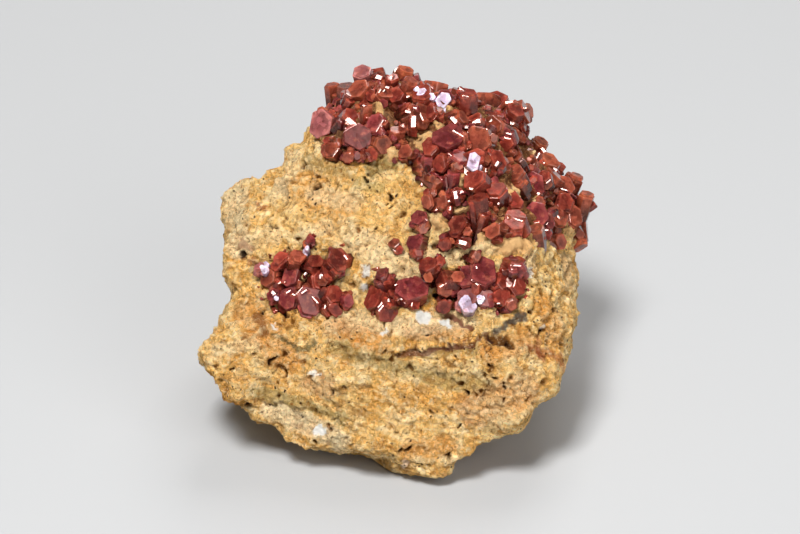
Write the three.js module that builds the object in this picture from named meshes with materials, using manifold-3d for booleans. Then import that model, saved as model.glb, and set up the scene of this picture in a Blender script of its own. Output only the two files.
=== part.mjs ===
// Vanadinite in matrix: a broken block of ochre rock, 60 mm wide, with a druse of
// red-brown hexagonal crystals over its top and right flank, three clusters of crystals
// along a ledge at mid height, and a few crystals that stand alone.
// Millimetres, +Z up, the front towards -Y, the origin in the middle of its footprint.

import * as THREE from 'three';
import { ImprovedNoise } from 'three/addons/math/ImprovedNoise.js';
import { mergeVertices } from 'three/addons/utils/BufferGeometryUtils.js';
import Module from 'manifold-3d';

const wasm = await Module();
wasm.setup();

// The rock: its broken edges, its lumps and grains, and layers that dip to the right
const EDGE_ROUNDING = 1.6;
const OUTLINE_ALLOWANCE = 0.4;
const LUMP_SIZE = 9;
const LUMP_HEIGHT = 0.9;
const GRAIN_SIZE = 4.2;
const GRAIN_HEIGHT = 0.5;
const LAYER_LENGTH = 14;
const LAYER_THICKNESS = 2.6;
const LAYER_RELIEF = 0.45;
const LAYER_DIP = -0.22;
const ROCK_MESH_DETAIL = 11;

// The crystals: how they sit on the rock, and the crust that joins those of the druse
const CRYSTAL_GAP = 0.36;
const CRYSTAL_LIFT = 0.6;
const ROOT_DEPTH = 1;
const UNSEEN_CRYSTAL_LENGTH = 3.2;
const CRUST_THICKNESS = 0.9;
const CRUST_MESH_DETAIL = 9;

// How far outside the rock a search for its surface starts
const SEARCH_REACH = 60;

// The eye that the outline and the places of the crystals are measured from: in front of
// the rock and 30 degrees above it. A place [right, up] lies on the plane through AIM
// that faces this eye, so it is a real size on the rock.
const EYE_DISTANCE = 700;
const EYE_ELEVATION = THREE.MathUtils.degToRad(30);
const AIM = new THREE.Vector3(0.75, -4.5, 25.3);
const RIGHT = new THREE.Vector3(1, 0, 0);
const UP = new THREE.Vector3(0, Math.sin(EYE_ELEVATION), Math.cos(EYE_ELEVATION));
const TO_EYE = new THREE.Vector3(0, -Math.cos(EYE_ELEVATION), Math.sin(EYE_ELEVATION));
const EYE = AIM.clone().addScaledVector(TO_EYE, EYE_DISTANCE);

// Where the middle of the finished footprint lies, which becomes the origin
const FOOTPRINT_MIDDLE = [0.95, -0.1];

// The middle that every point of the rock's surface can be seen from
const ROCK_CENTRE = new THREE.Vector3(0, -1, 21);

// Outline of the bare rock as the eye sees it, clockwise from the left tip
const ROCK_OUTLINE = [
  [-31.0, -13.5], [-30.0, -11.3], [-27.8, -10.2], [-26.8, -7.6], [-25.4, -5.8], [-24.9, -3.4],
  [-25.8, -0.4], [-25.8, 4.8], [-26.5, 8.6], [-25.8, 11.6], [-23.4, 13.0], [-21.9, 12.5],
  [-19.8, 13.8], [-17.5, 16.1], [-16.3, 18.2], [-14.2, 20.0], [-12.3, 21.3], [-9.8, 23.5],
  [-7.2, 25.5], [-3.8, 27.1], [-0.3, 27.7], [3.0, 26.3], [6.0, 24.6], [9.3, 24.4],
  [12.0, 23.1], [17.2, 22.5], [18.3, 19.0], [20.5, 16.0], [22.8, 13.0], [25.5, 10.8],
  [26.5, 7.8], [25.8, 4.0], [25.6, 0.8], [26.2, -1.2], [25.8, -4.2], [25.9, -6.5],
  [25.5, -9.5], [25.3, -12.2], [24.3, -13.6], [24.8, -16.2], [24.3, -18.2], [22.2, -20.2],
  [20.1, -22.4], [17.7, -24.0], [15.0, -25.2], [12.6, -26.8], [10.0, -27.9], [7.8, -29.7],
  [6.6, -30.8], [5.0, -31.8], [2.3, -31.2], [-0.3, -31.0], [-2.2, -29.4], [-3.8, -28.2],
  [-5.7, -27.5], [-8.5, -27.4], [-11.5, -27.6], [-14.7, -27.3], [-16.9, -25.8], [-18.9, -23.7],
  [-22.0, -22.6], [-24.3, -21.4], [-27.1, -18.8], [-28.2, -16.2], [-30.0, -14.7],
];

// Profile of the front, from its foot to the ridge, as [height, how far back]: a steep
// lower face, a lip with a narrow ledge, a recessed band, and the upper slopes
const FRONT_PROFILE = [
  [0, -24.6], [1.6, -27.6], [10, -23], [20, -18.6], [22.5, -14.5], [26, -12.2], [31, -9.5],
  [37, -4.5], [42, 0.5], [45, 5], [47.5, 11], [49, 17],
];

// How far back the front stands along its width, as [place across, setback]
const FRONT_PLAN = [
  [-31, 6], [-26, 3.4], [-18, 4.2], [-6, 0], [4, 0], [14, -2.2], [20, -0.8], [24, 2.5], [28, 9],
];

// Broken faces that bound the rock elsewhere, as an outward direction and a point on each
const BROKEN_FACES = [
  { name: 'toe', facing: [0, -0.25, -0.97], through: [2.7, -26, 0.9] },
  { name: 'left underside', facing: [-0.66, -0.05, -0.75], through: [-17.7, -18, 4.3] },
  { name: 'right underside', facing: [0.55, 0, -0.84], through: [14.2, -10, 5.6] },
  { name: 'rear underside', facing: [-0.1, 0.6, -0.79], through: [0, 17, -0.6] },
  { name: 'left shoulder', facing: [-0.62, -0.12, 0.77], through: [-11.5, 13.5, 41.2] },
  { name: 'right shoulder', facing: [0.84, -0.14, 0.52], through: [17.3, 15, 40.4] },
  { name: 'rear slope', facing: [0.05, 0.5, 0.86], through: [0, 16.5, 47.5] },
  { name: 'upper back', facing: [-0.12, 0.93, 0.35], through: [2, 22.5, 36] },
  { name: 'lower back', facing: [0.1, 0.97, -0.22], through: [0, 24.6, 18] },
  { name: 'left of the back', facing: [-0.6, 0.78, 0.18], through: [-21, 18.5, 24] },
  { name: 'right of the back', facing: [0.62, 0.78, 0.05], through: [26.5, 20.5, 18] },
];

// Grooves, hollows and swellings of the front, along lines as the eye sees them.
// A positive depth cuts in and a negative one swells out.
const FRONT_FEATURES = [
  { line: [[-0.5, -12.4], [6, -12], [10.5, -11], [13.2, -9.8]], width: 1.3, depth: 1.3 },
  { line: [[14.8, -10.4], [17.5, -9.4]], width: 1.8, depth: 1.9 },
  { line: [[-20.5, -9.4], [-14.5, -11]], width: 1.2, depth: 1 },
  { line: [[-9.5, -12.4], [0, -15.4], [8.5, -17.4], [12, -17.8]], width: 1.8, depth: 0.8 },
  { line: [[-21, -19.6], [-14, -21.3], [-8.5, -23]], width: 1.5, depth: 0.8 },
  { line: [[-23.5, -14], [-18.5, -15.4], [-16, -15.6]], width: 1.1, depth: 0.7 },
  { line: [[-18.6, -6.3], [-17.4, -6.6]], width: 1.3, depth: 1.6 },
  { line: [[-19, -1.5], [-14, -3], [-9.5, -2.5]], width: 3.6, depth: 1.4 },
  { line: [[-3, -4], [3, -4.2], [9, -3.6], [16, -3.4]], width: 3, depth: 1.4 },
  { line: [[-8.6, -3], [-5.2, -1.6], [-2, -0.2]], width: 2.2, depth: -1 },
  { line: [[-15.2, 15.6], [-14, 14.8]], width: 1.5, depth: 1.3 },
  { line: [[-24.5, 11], [-23.8, 6.5]], width: 2.6, depth: -0.9 },
  { line: [[-22.3, 0.6], [-22, -4.6]], width: 1.8, depth: 0.9 },
  { line: [[22, 0.2], [21, -3]], width: 1.2, depth: 0.9 },
  { line: [[-9, -16.5], [-6, -16.9]], width: 3.4, depth: -0.8 },
  { line: [[1.5, -28.3], [4, -29.4]], width: 2.2, depth: -0.6 },
];

// Where the crystals have grown into one crust over the top, as the eye sees it
const DRUSE_AREA = [
  [-12.6, 20.8], [-9.5, 24], [-4.5, 27.5], [1.2, 28], [6.5, 25.4], [12, 24.4], [17.8, 23.4],
  [20, 18.6], [25, 12.6], [27, 8], [25.4, 5], [20.5, 4], [18.5, 5], [13.2, 5.4], [9.2, 3.8],
  [6, 3], [8.4, 6], [5.6, 7.6], [4.6, 9.6], [6, 11], [4.2, 13], [1.6, 15.6], [-2.2, 16.8],
  [-9.6, 17.2],
];
const DRUSE_DEPTH = [-12, 20];

// The same crust behind the ridge, as [across, back] above a height, and on the right
// flank, as [back, height] beyond a place across
const RIDGE_AREA = [[-11, 9], [-11, 15], [-6, 18.5], [-1, 20], [6, 21], [14, 21], [19.5, 19], [22, 11]];
const RIDGE_HEIGHTS = [36, 60];
const FLANK_AREA = [
  [8, 27], [10, 21.5], [14, 18.5], [17, 15.6], [20.5, 16.4], [21, 24], [19.5, 33], [10, 36],
];
const FLANK_REACH = [20, 45];

// Crystals, each as [right, up, radius, length, lean right, lean up, turn]. The first two
// give where the eye sees its middle, the radius is half its width between flat sides,
// and the leans are those of its axis from the eye.
const DRUSE_CRYSTALS = [
  [-11.2, 21.6, 2.0, 4.0, -0.35, 0.2, 10], [-9.6, 24.7, 1.6, 4.0, -0.15, 0.8, 0],
  [-7.2, 24.6, 1.7, 3.4, 0, 0.7, 20], [-5.0, 27.6, 1.6, 3.8, -0.2, 0.7, 5],
  [-2.2, 27.4, 1.6, 3.4, 0, 0.75, 0], [0.6, 27.8, 1.6, 4.0, 0.3, 0.75, 10],
  [-3.8, 24.6, 2.0, 3.2, -0.1, 0.4, 25], [-7.8, 21.7, 1.8, 3.0, 0.35, 0.55, 15],
  [-6.2, 18.9, 2.1, 3.2, 0, 0.15, 8], [-4.2, 21.8, 1.7, 3.4, -0.1, 0.5, 35],
  [-2.6, 18.8, 1.8, 3.0, 0.15, 0.1, 50], [-9.6, 18.2, 1.7, 3.0, -0.25, 0.2, 28],
  [-0.8, 21.8, 1.9, 3.0, -0.1, 0.2, 12], [1.4, 25.2, 1.7, 4.0, 0.35, 0.8, 0],
  [4.2, 24.8, 2.0, 3.4, 0, 0.6, 18], [7.0, 24.2, 1.7, 3.0, 0.1, 0.55, 2],
  [9.8, 23.6, 1.7, 4.6, 0.05, 0.8, 30], [2.6, 21.9, 2.1, 3.6, 0.45, 0.35, 0],
  [6.2, 21.6, 1.8, 3.0, 0.3, 0.4, 22], [7.5, 18.4, 2.3, 3.6, 0.1, 0.35, 14],
  [11.6, 19.2, 2.3, 3.2, 0, 0.1, 33], [13.0, 22.6, 1.9, 3.4, -0.1, 0.6, 0],
  [16.2, 22.8, 1.8, 3.6, 0.1, 0.75, 25], [18.2, 21.4, 1.5, 3.2, 0.65, 0.5, 0],
  [15.2, 19.2, 2.0, 3.2, 0.1, 0.3, 48], [11.1, 15.4, 2.0, 3.0, -0.05, 0.35, 3],
  [0.9, 18.4, 1.8, 3.0, -0.1, 0.4, 30], [4.0, 17.6, 1.9, 3.0, 0, 0.3, 20],
  [5.6, 14.6, 1.8, 2.8, -0.1, 0.2, 40], [8.4, 15.2, 1.5, 3.0, 0.1, 0.5, 9],
  [20.3, 18.0, 1.8, 3.4, 0.6, 0.35, 5], [17.2, 15.6, 2.0, 3.0, 0.1, 0.2, 27],
  [14.0, 15.6, 1.7, 3.0, 0.1, 0.3, 52], [22.9, 15.0, 1.9, 3.4, 0.55, 0.5, 0],
  [25.6, 12.2, 1.8, 3.4, 0.6, 0.4, 44], [20.0, 12.6, 2.1, 3.2, 0.1, 0.1, 16],
  [16.6, 12.2, 1.8, 3.0, 0, 0.2, 38], [23.2, 9.8, 2.1, 3.4, 0.25, 0.45, 6],
  [27.4, 9.0, 2.0, 4.4, 0.9, 0.15, 0], [26.2, 5.0, 1.9, 4.4, 0.85, -0.25, 22],
  [5.2, 11.8, 1.7, 3.0, 0.4, -0.3, 0], [8.8, 11.8, 1.8, 3.0, 0.1, 0.6, 13],
  [6.2, 9.0, 1.7, 2.8, -0.3, 0.3, 19], [12.2, 7.4, 2.3, 3.6, 0.3, 0.1, 30],
  [12.6, 11.8, 2.0, 3.2, -0.2, 0.5, 8], [9.0, 6.0, 1.8, 3.0, -0.3, 0.3, 24],
  [8.2, 3.6, 1.5, 2.8, 0, -0.1, 15], [16.2, 9.2, 1.9, 3.0, 0.1, 0.4, 47],
  [16.6, 5.6, 2.1, 3.0, 0.1, 0.45, 4], [20.2, 8.4, 2.0, 3.2, 0, 0.1, 29],
  [23.4, 6.4, 1.9, 3.2, 0.3, 0.3, 10], [20.4, 4.6, 1.9, 4.6, -0.15, 0.75, 0],
];

const LOWER_LEFT_CRYSTALS = [
  [-9.4, 0.8, 1.65, 2.8, 0, 0.05, 30], [-11.6, -0.6, 1.3, 2.6, 0.1, 0.1, 12],
  [-17.4, 0.5, 1.4, 2.6, -0.1, 0.3, 12], [-14.8, 0.8, 1.5, 2.8, 0.1, 0.4, 40],
  [-18.8, -1.8, 1.5, 2.8, -0.2, 0.1, 22], [-20.6, -0.6, 1.1, 2.4, -0.4, 0.4, 0],
  [-16.0, -1.9, 1.7, 3.0, 0, 0, 48], [-12.9, -2.4, 1.6, 3.0, 0.1, 0.1, 16],
  [-16.4, -4.9, 1.6, 2.8, 0, 0.15, 2], [-13.4, -5.4, 1.8, 3.0, 0.1, 0.05, 26],
  [-18.6, -4.3, 1.2, 2.6, -0.2, 0, 35], [-10.4, -4.4, 1.4, 2.8, 0.2, 0.1, 8],
  [-10.6, -6.3, 1.1, 2.4, 0.1, -0.2, 51], [-8.2, -5.3, 1.1, 2.4, 0.3, 0, 19],
];

const LOWER_MIDDLE_CRYSTALS = [
  [-2.6, -1.9, 1.4, 3.2, -0.05, 0.6, 0], [-3.3, -5.0, 1.65, 3.0, -0.5, 0.35, 14],
  [-0.6, -4.2, 1.6, 3.0, 0, 0.2, 37], [2.1, -4.4, 2.0, 3.4, 0.05, 0.4, 5],
];

const LOWER_RIGHT_CRYSTALS = [
  [6.6, -5.0, 1.2, 2.6, 0.1, -0.1, 9], [7.9, -2.4, 1.6, 4.4, -0.8, -0.1, 0],
  [10.2, -1.9, 1.7, 3.0, 0, 0.2, 42], [12.9, -1.4, 1.9, 3.4, 0.1, 0.3, 18],
  [10.3, -5.1, 1.75, 3.2, -0.15, 0.25, 3], [12.7, -4.8, 1.4, 2.8, 0, 0.2, 31],
  [15.1, -2.2, 1.4, 3.0, 0.1, 0.2, 11], [17.3, -3.3, 1.3, 2.6, 0.3, 0.1, 46],
  [15.2, -4.8, 1.5, 2.8, 0.1, 0, 23],
];

// Crystals that stand alone, or two together
const LONE_CRYSTALS = {
  lone_crystal_1: [[3.1, 7.1, 1.4, 2.4, -0.1, 0.1, 12], [3.3, 5.9, 0.85, 2.0, 0.1, 0.1, 40]],
  lone_crystal_2: [[2.6, 3.4, 1.15, 2.2, -0.2, 0.1, 0], [2.5, 2.1, 0.8, 2.0, 0, 0, 25]],
  lone_crystal_3: [[4.2, -0.1, 1.15, 2.6, -0.1, 0.5, 6], [5.9, 0.8, 0.8, 2.2, 0.1, 0.3, 30]],
  lone_crystal_4: [[-0.6, 3.1, 0.9, 2.2, -0.1, 0.3, 18]],
  lone_crystal_5: [[-13.6, 3.8, 0.8, 2.0, 0, 0.2, 5]],
  lone_crystal_6: [[11.2, 1.6, 0.85, 2.2, 0.1, -0.1, 33]],
  thin_tablet_crystal: [[17.1, 1.1, 1.5, 1.1, 0, 0.7, 0]],
};

// Crystals behind the ridge, at [across, back], and on the right flank, at [back, height]
const RIDGE_CRYSTALS = [
  [-7, 16.5, 1.7], [-3, 18.5, 2.0], [1.4, 17.6, 1.9], [5.6, 19, 2.0], [10, 17.8, 1.9],
  [14, 19.2, 2.0], [18.4, 17.8, 1.9],
];
const FLANK_CRYSTALS = [
  [10.5, 25, 1.9], [15, 21, 2.0], [18.4, 24.6, 1.8], [18.6, 17.4, 1.7], [13.5, 30, 1.9], [18, 30, 1.7],
];

const rockLook = { color: 0xc79a55, roughness: 0.9, flatShading: true };
const crystalLook = { color: 0x7d2a17, roughness: 0.25, flatShading: true };
const rockMaterial = new THREE.MeshStandardMaterial(rockLook);
const crystalMaterial = new THREE.MeshStandardMaterial(crystalLook);

const noise = new ImprovedNoise();
const faces = BROKEN_FACES.map(({ facing, through }) => ({
  normal: new THREE.Vector3(...facing).normalize(),
  point: new THREE.Vector3(...through),
}));

function smoothMax(a, b, rounding) {
  const overlap = Math.max(rounding - Math.abs(a - b), 0) / rounding;
  return Math.max(a, b) + overlap * overlap * rounding * 0.25;
}

function alongPolyline(points, at) {
  const last = points.length - 1;
  if (at <= points[0][0]) return points[0][1];
  if (at >= points[last][0]) return points[last][1];
  const i = points.findIndex((point) => point[0] >= at);
  const [fromAt, fromValue] = points[i - 1];
  const [toAt, toValue] = points[i];
  return THREE.MathUtils.lerp(fromValue, toValue, (at - fromAt) / (toAt - fromAt));
}

function distanceToSegment(x, y, [ax, ay], [bx, by]) {
  const dx = bx - ax;
  const dy = by - ay;
  const along = THREE.MathUtils.clamp(((x - ax) * dx + (y - ay) * dy) / (dx * dx + dy * dy), 0, 1);
  return Math.hypot(x - ax - dx * along, y - ay - dy * along);
}

function distanceToLine(x, y, line) {
  let nearest = Infinity;
  for (let i = 1; i < line.length; i += 1) {
    nearest = Math.min(nearest, distanceToSegment(x, y, line[i - 1], line[i]));
  }
  return nearest;
}

// Distance to a closed outline, negative inside it
function distanceToOutline(x, y, outline) {
  let nearest = Infinity;
  let inside = false;
  outline.forEach((a, i) => {
    const b = outline[(i + 1) % outline.length];
    nearest = Math.min(nearest, distanceToSegment(x, y, a, b));
    const crosses = (a[1] > y) !== (b[1] > y);
    if (crosses && x < ((b[0] - a[0]) * (y - a[1])) / (b[1] - a[1]) + a[0]) inside = !inside;
  });
  return inside ? -nearest : nearest;
}

// Where the eye sees a point, as [right, up] on the plane through AIM
function seenAt(point) {
  const offset = point.clone().sub(AIM);
  const nearer = EYE_DISTANCE / (EYE_DISTANCE - offset.dot(TO_EYE));
  return [offset.dot(RIGHT) * nearer, offset.dot(UP) * nearer];
}

function frontRelief(right, up) {
  let depth = 0;
  for (const feature of FRONT_FEATURES) {
    const away = distanceToLine(right, up, feature.line) / feature.width;
    if (away < 2) depth += feature.depth * Math.exp(-1.6 * away * away);
  }
  return depth;
}

function roughness(point) {
  const lumps = noise.noise(point.x / LUMP_SIZE + 3, point.y / LUMP_SIZE, point.z / LUMP_SIZE);
  const grains = noise.noise(point.x / GRAIN_SIZE, point.y / GRAIN_SIZE + 9, point.z / GRAIN_SIZE);
  const across = point.z - LAYER_DIP * point.x;
  const layers = noise.noise(point.x / LAYER_LENGTH, point.y / LAYER_LENGTH, across / LAYER_THICKNESS);
  return LUMP_HEIGHT * lumps + GRAIN_HEIGHT * grains + LAYER_RELIEF * layers;
}

// Distance from a point to the rock's surface, negative inside the rock
function rockDistance(point) {
  const [right, up] = seenAt(point);
  const front = alongPolyline(FRONT_PROFILE, point.z) + alongPolyline(FRONT_PLAN, point.x);
  let distance = (front + frontRelief(right, up) - point.y) * 0.82;
  for (const { normal, point: through } of faces) {
    distance = smoothMax(distance, normal.dot(point) - normal.dot(through), EDGE_ROUNDING * 2);
  }
  const outside = distanceToOutline(right, up, ROCK_OUTLINE) - OUTLINE_ALLOWANCE;
  distance = smoothMax(distance, outside, EDGE_ROUNDING / 2);
  return distance - roughness(point);
}

// First point where a ray meets the rock, or the point where it passes nearest
function castRay(origin, direction, reach) {
  const point = new THREE.Vector3();
  let nearest = Infinity;
  let nearestAt = 0;
  let travelled = 0;
  while (travelled < reach) {
    point.copy(origin).addScaledVector(direction, travelled);
    const distance = rockDistance(point);
    if (distance < nearest) {
      nearest = distance;
      nearestAt = travelled;
    }
    if (distance < 0.02) break;
    travelled += Math.max(0.5 * distance, 0.05);
  }
  return { point: origin.clone().addScaledVector(direction, nearestAt), clearance: nearest };
}

function rockNormal(point) {
  const step = 0.6;
  const slope = (axis) =>
    rockDistance(point.clone().addScaledVector(axis, step)) -
    rockDistance(point.clone().addScaledVector(axis, -step));
  const [x, y, z] = [[1, 0, 0], [0, 1, 0], [0, 0, 1]].map((axis) => slope(new THREE.Vector3(...axis)));
  return new THREE.Vector3(x, y, z).normalize();
}

function toSolid(geometry) {
  const plain = geometry.clone();
  plain.deleteAttribute('normal');
  plain.deleteAttribute('uv');
  const merged = mergeVertices(plain);
  const vertProperties = new Float32Array(merged.attributes.position.array);
  const triVerts = new Uint32Array(merged.index.array);
  return new wasm.Manifold(new wasm.Mesh({ numProp: 3, vertProperties, triVerts }));
}

function toGeometry(solid) {
  const { vertProperties, triVerts } = solid.getMesh();
  const geometry = new THREE.BufferGeometry();
  geometry.setAttribute('position', new THREE.BufferAttribute(new Float32Array(vertProperties), 3));
  geometry.setIndex(new THREE.BufferAttribute(new Uint32Array(triVerts), 1));
  geometry.computeVertexNormals();
  return geometry;
}

// The rock's surface as a ball whose every corner is moved out to the surface, grown by
// a given thickness
function rockGeometry(detail, growth) {
  const ball = new THREE.IcosahedronGeometry(1, detail);
  ball.deleteAttribute('normal');
  ball.deleteAttribute('uv');
  const geometry = mergeVertices(ball);
  const corners = geometry.attributes.position;
  const direction = new THREE.Vector3();
  for (let i = 0; i < corners.count; i += 1) {
    direction.fromBufferAttribute(corners, i).normalize();
    const start = ROCK_CENTRE.clone().addScaledVector(direction, SEARCH_REACH);
    const hit = castRay(start, direction.clone().negate(), SEARCH_REACH).point;
    const facing = Math.max(rockNormal(hit).dot(direction), 0.4);
    hit.addScaledVector(direction, growth / facing);
    corners.setXYZ(i, hit.x, hit.y, hit.z);
  }
  return geometry;
}

// A hexagonal prism standing on the origin along +Z
function crystalGeometry(radius, length) {
  const corner = radius / Math.cos(Math.PI / 6);
  const geometry = new THREE.CylinderGeometry(corner, corner, length, 6);
  return geometry.rotateX(Math.PI / 2).translate(0, 0, length / 2);
}

// A crystal between two points of its axis, set deep enough to be rooted in the rock
function crystalSolid(foot, axis, radius, length, turn) {
  const root = foot.clone();
  let sunk = 0;
  while (rockDistance(root) > -ROOT_DEPTH && sunk < length) {
    root.addScaledVector(axis, -0.5);
    sunk += 0.5;
  }
  const geometry = crystalGeometry(radius, length + sunk);
  geometry.rotateZ(THREE.MathUtils.degToRad(turn));
  const upright = new THREE.Quaternion().setFromUnitVectors(new THREE.Vector3(0, 0, 1), axis);
  geometry.applyQuaternion(upright);
  geometry.translate(root.x, root.y, root.z);
  return toSolid(geometry);
}

function seenCrystal([right, up, radius, length, leanRight, leanUp, turn]) {
  const place = AIM.clone().addScaledVector(RIGHT, right).addScaledVector(UP, up);
  const sight = place.sub(EYE).normalize();
  const start = EYE.clone().addScaledVector(sight, EYE_DISTANCE - SEARCH_REACH);
  const { point, clearance } = castRay(start, sight, 2 * SEARCH_REACH);
  const leanToEye = Math.sqrt(Math.max(1 - leanRight ** 2 - leanUp ** 2, 0.01));
  const axis = new THREE.Vector3()
    .addScaledVector(RIGHT, leanRight)
    .addScaledVector(UP, leanUp)
    .addScaledVector(TO_EYE, leanToEye)
    .normalize();
  const lift = clearance > 0.1 ? 0 : CRYSTAL_LIFT;
  const middle = point.addScaledVector(TO_EYE, lift);
  return crystalSolid(middle.addScaledVector(axis, -length / 2), axis, radius, length, turn);
}

function unseenCrystal(start, direction, radius, i) {
  const { point } = castRay(start, direction, 2 * SEARCH_REACH);
  const axis = rockNormal(point);
  axis.x += 0.35 * Math.sin(2.4 * i);
  axis.z += 0.3 * Math.cos(1.7 * i);
  axis.normalize();
  const foot = point.addScaledVector(axis, -0.3 * UNSEEN_CRYSTAL_LENGTH);
  return crystalSolid(foot, axis, radius, UNSEEN_CRYSTAL_LENGTH, 23 * i);
}

function joinAll(solids) {
  return solids.reduce((joined, solid) => joined.add(solid));
}

// The one connected body, with any sealed pocket inside it filled
function mainBody(solid) {
  return solid.decompose().reduce((a, b) => (b.volume() > a.volume() ? b : a));
}

function boxBetween([x0, y0, z0], [x1, y1, z1]) {
  const box = new THREE.BoxGeometry(x1 - x0, y1 - y0, z1 - z0);
  return toSolid(box.translate((x0 + x1) / 2, (y0 + y1) / 2, (z0 + z1) / 2));
}

// A prism over an area drawn on the plane of two axes, between two depths along a third
function areaPrism(area, [from, to], xAxis, yAxis, depthAxis, origin) {
  const shape = new THREE.Shape(area.map(([x, y]) => new THREE.Vector2(x, y)));
  const prism = new THREE.ExtrudeGeometry(shape, { depth: to - from, bevelEnabled: false });
  prism.translate(0, 0, from);
  prism.applyMatrix4(new THREE.Matrix4().makeBasis(xAxis, yAxis, depthAxis).setPosition(origin));
  return toSolid(prism);
}

// A thin crust under the druse, over the area the eye sees, the back of the ridge and
// the right flank
function druseCrust() {
  const [x, y, z] = [[1, 0, 0], [0, 1, 0], [0, 0, 1]].map((axis) => new THREE.Vector3(...axis));
  const centre = new THREE.Vector3();
  const region = areaPrism(DRUSE_AREA, DRUSE_DEPTH, RIGHT, UP, TO_EYE, AIM)
    .add(areaPrism(RIDGE_AREA, RIDGE_HEIGHTS, x, y, z, centre))
    .add(areaPrism(FLANK_AREA, FLANK_REACH, y, z, x, centre));
  return toSolid(rockGeometry(CRUST_MESH_DETAIL, CRUST_THICKNESS)).intersect(region);
}

function druseSolid() {
  const seen = DRUSE_CRYSTALS.map(seenCrystal);
  const ridge = RIDGE_CRYSTALS.map(([x, y, radius], i) =>
    unseenCrystal(new THREE.Vector3(x, y, 60), new THREE.Vector3(0, 0, -1), radius, i));
  const flank = FLANK_CRYSTALS.map(([y, z, radius], i) =>
    unseenCrystal(new THREE.Vector3(50, y, z), new THREE.Vector3(-1, 0, 0), radius, i));
  return joinAll([druseCrust(), ...seen, ...ridge, ...flank]);
}

const floorCut = boxBetween([-60, -60, -20], [60, 60, 0]);
const rock = toSolid(rockGeometry(ROCK_MESH_DETAIL, 0)).subtract(floorCut);
const clearOfRock = toSolid(rockGeometry(ROCK_MESH_DETAIL, CRYSTAL_GAP));

const group = new THREE.Group();

function addPiece(name, solid, material) {
  const mesh = new THREE.Mesh(toGeometry(solid), material);
  mesh.name = name;
  group.add(mesh);
}

addPiece('matrix', mainBody(rock), rockMaterial);
const crystalGroups = {
  upper_crystal_druse: druseSolid(),
  lower_left_crystal_cluster: joinAll(LOWER_LEFT_CRYSTALS.map(seenCrystal)),
  lower_middle_crystal_cluster: joinAll(LOWER_MIDDLE_CRYSTALS.map(seenCrystal)),
  lower_right_crystal_cluster: joinAll(LOWER_RIGHT_CRYSTALS.map(seenCrystal)),
};
for (const [name, crystals] of Object.entries(LONE_CRYSTALS)) {
  crystalGroups[name] = joinAll(crystals.map(seenCrystal));
}
for (const [name, solid] of Object.entries(crystalGroups)) {
  addPiece(name, mainBody(solid.subtract(clearOfRock)), crystalMaterial);
}

group.position.set(-FOOTPRINT_MIDDLE[0], -FOOTPRINT_MIDDLE[1], 0);

export default group;
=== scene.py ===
"""Vanadinite in matrix: the looks of a broken block of ochre rock with red-brown
hexagonal crystals grown over its top, its right flank and a ledge across its front.

Lengths in the tables are millimetres. A place [right, up] lies on the picture plane, the
plane through AIM that faces the camera, so it is a real size on the rock.
"""

import math
import random

import bmesh
import bpy
import numpy as np
from mathutils import Matrix, Vector, noise
from mathutils.bvhtree import BVHTree


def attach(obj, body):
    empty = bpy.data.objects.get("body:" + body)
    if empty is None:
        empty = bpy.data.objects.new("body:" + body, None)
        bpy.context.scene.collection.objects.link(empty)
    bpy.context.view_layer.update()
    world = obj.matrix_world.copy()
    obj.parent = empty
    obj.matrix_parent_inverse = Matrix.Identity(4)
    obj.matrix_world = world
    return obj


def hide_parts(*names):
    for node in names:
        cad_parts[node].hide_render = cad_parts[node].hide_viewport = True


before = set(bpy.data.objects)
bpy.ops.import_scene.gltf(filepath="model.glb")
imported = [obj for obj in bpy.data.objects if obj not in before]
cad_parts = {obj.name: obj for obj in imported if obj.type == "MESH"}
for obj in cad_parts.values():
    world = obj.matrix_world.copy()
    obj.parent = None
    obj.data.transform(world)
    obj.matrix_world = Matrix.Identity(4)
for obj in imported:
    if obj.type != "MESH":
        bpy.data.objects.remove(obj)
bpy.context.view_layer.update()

MM = 0.001
NOISE_SEED = 5

# The camera, at the photograph's angle
EYE_DISTANCE = 700
EYE_ELEVATION = math.radians(30)
LENS = 210
AIM = Vector((-0.2, -4.4, 25.3))
RIGHT = Vector((1, 0, 0))
UP = Vector((0, math.sin(EYE_ELEVATION), math.cos(EYE_ELEVATION)))
TO_EYE = Vector((0, -math.cos(EYE_ELEVATION), math.sin(EYE_ELEVATION)))
EYE = AIM + TO_EYE * EYE_DISTANCE

# The lights, as a direction from the rock in degrees, a distance and a size in
# millimetres, and a power in watts
KEY_LIGHT = {"azimuth": -28, "elevation": 64, "distance": 900, "size": 260, "power": 11.5}
FRONT_LIGHT = {"azimuth": 40, "elevation": 29, "distance": 1200, "size": 900, "power": 6.9}
BACK_LIGHT = {"azimuth": 165, "elevation": 48, "distance": 900, "size": 420, "power": 3.2}

# The room's light: dim all round, so that the lamps model the rock, and pale along the
# horizon, between two heights of a direction
ROOM_COLOUR = (0.93, 0.89, 0.85)
ROOM_STRENGTH = 0.17
HORIZON_STRENGTH = 0.75
HORIZON_BAND = (0.05, 0.2)

# The pale floor, and the glow that keeps it pale where the lamps fall off, which starts and
# is full at two distances from its middle
FLOOR_SIZE = 12000
FLOOR_COLOUR = (0.405, 0.41, 0.415)
FLOOR_ROUGHNESS = 0.6
FLOOR_GLOW = 0.68
FLOOR_GLOW_BAND = (150, 1250)

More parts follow.
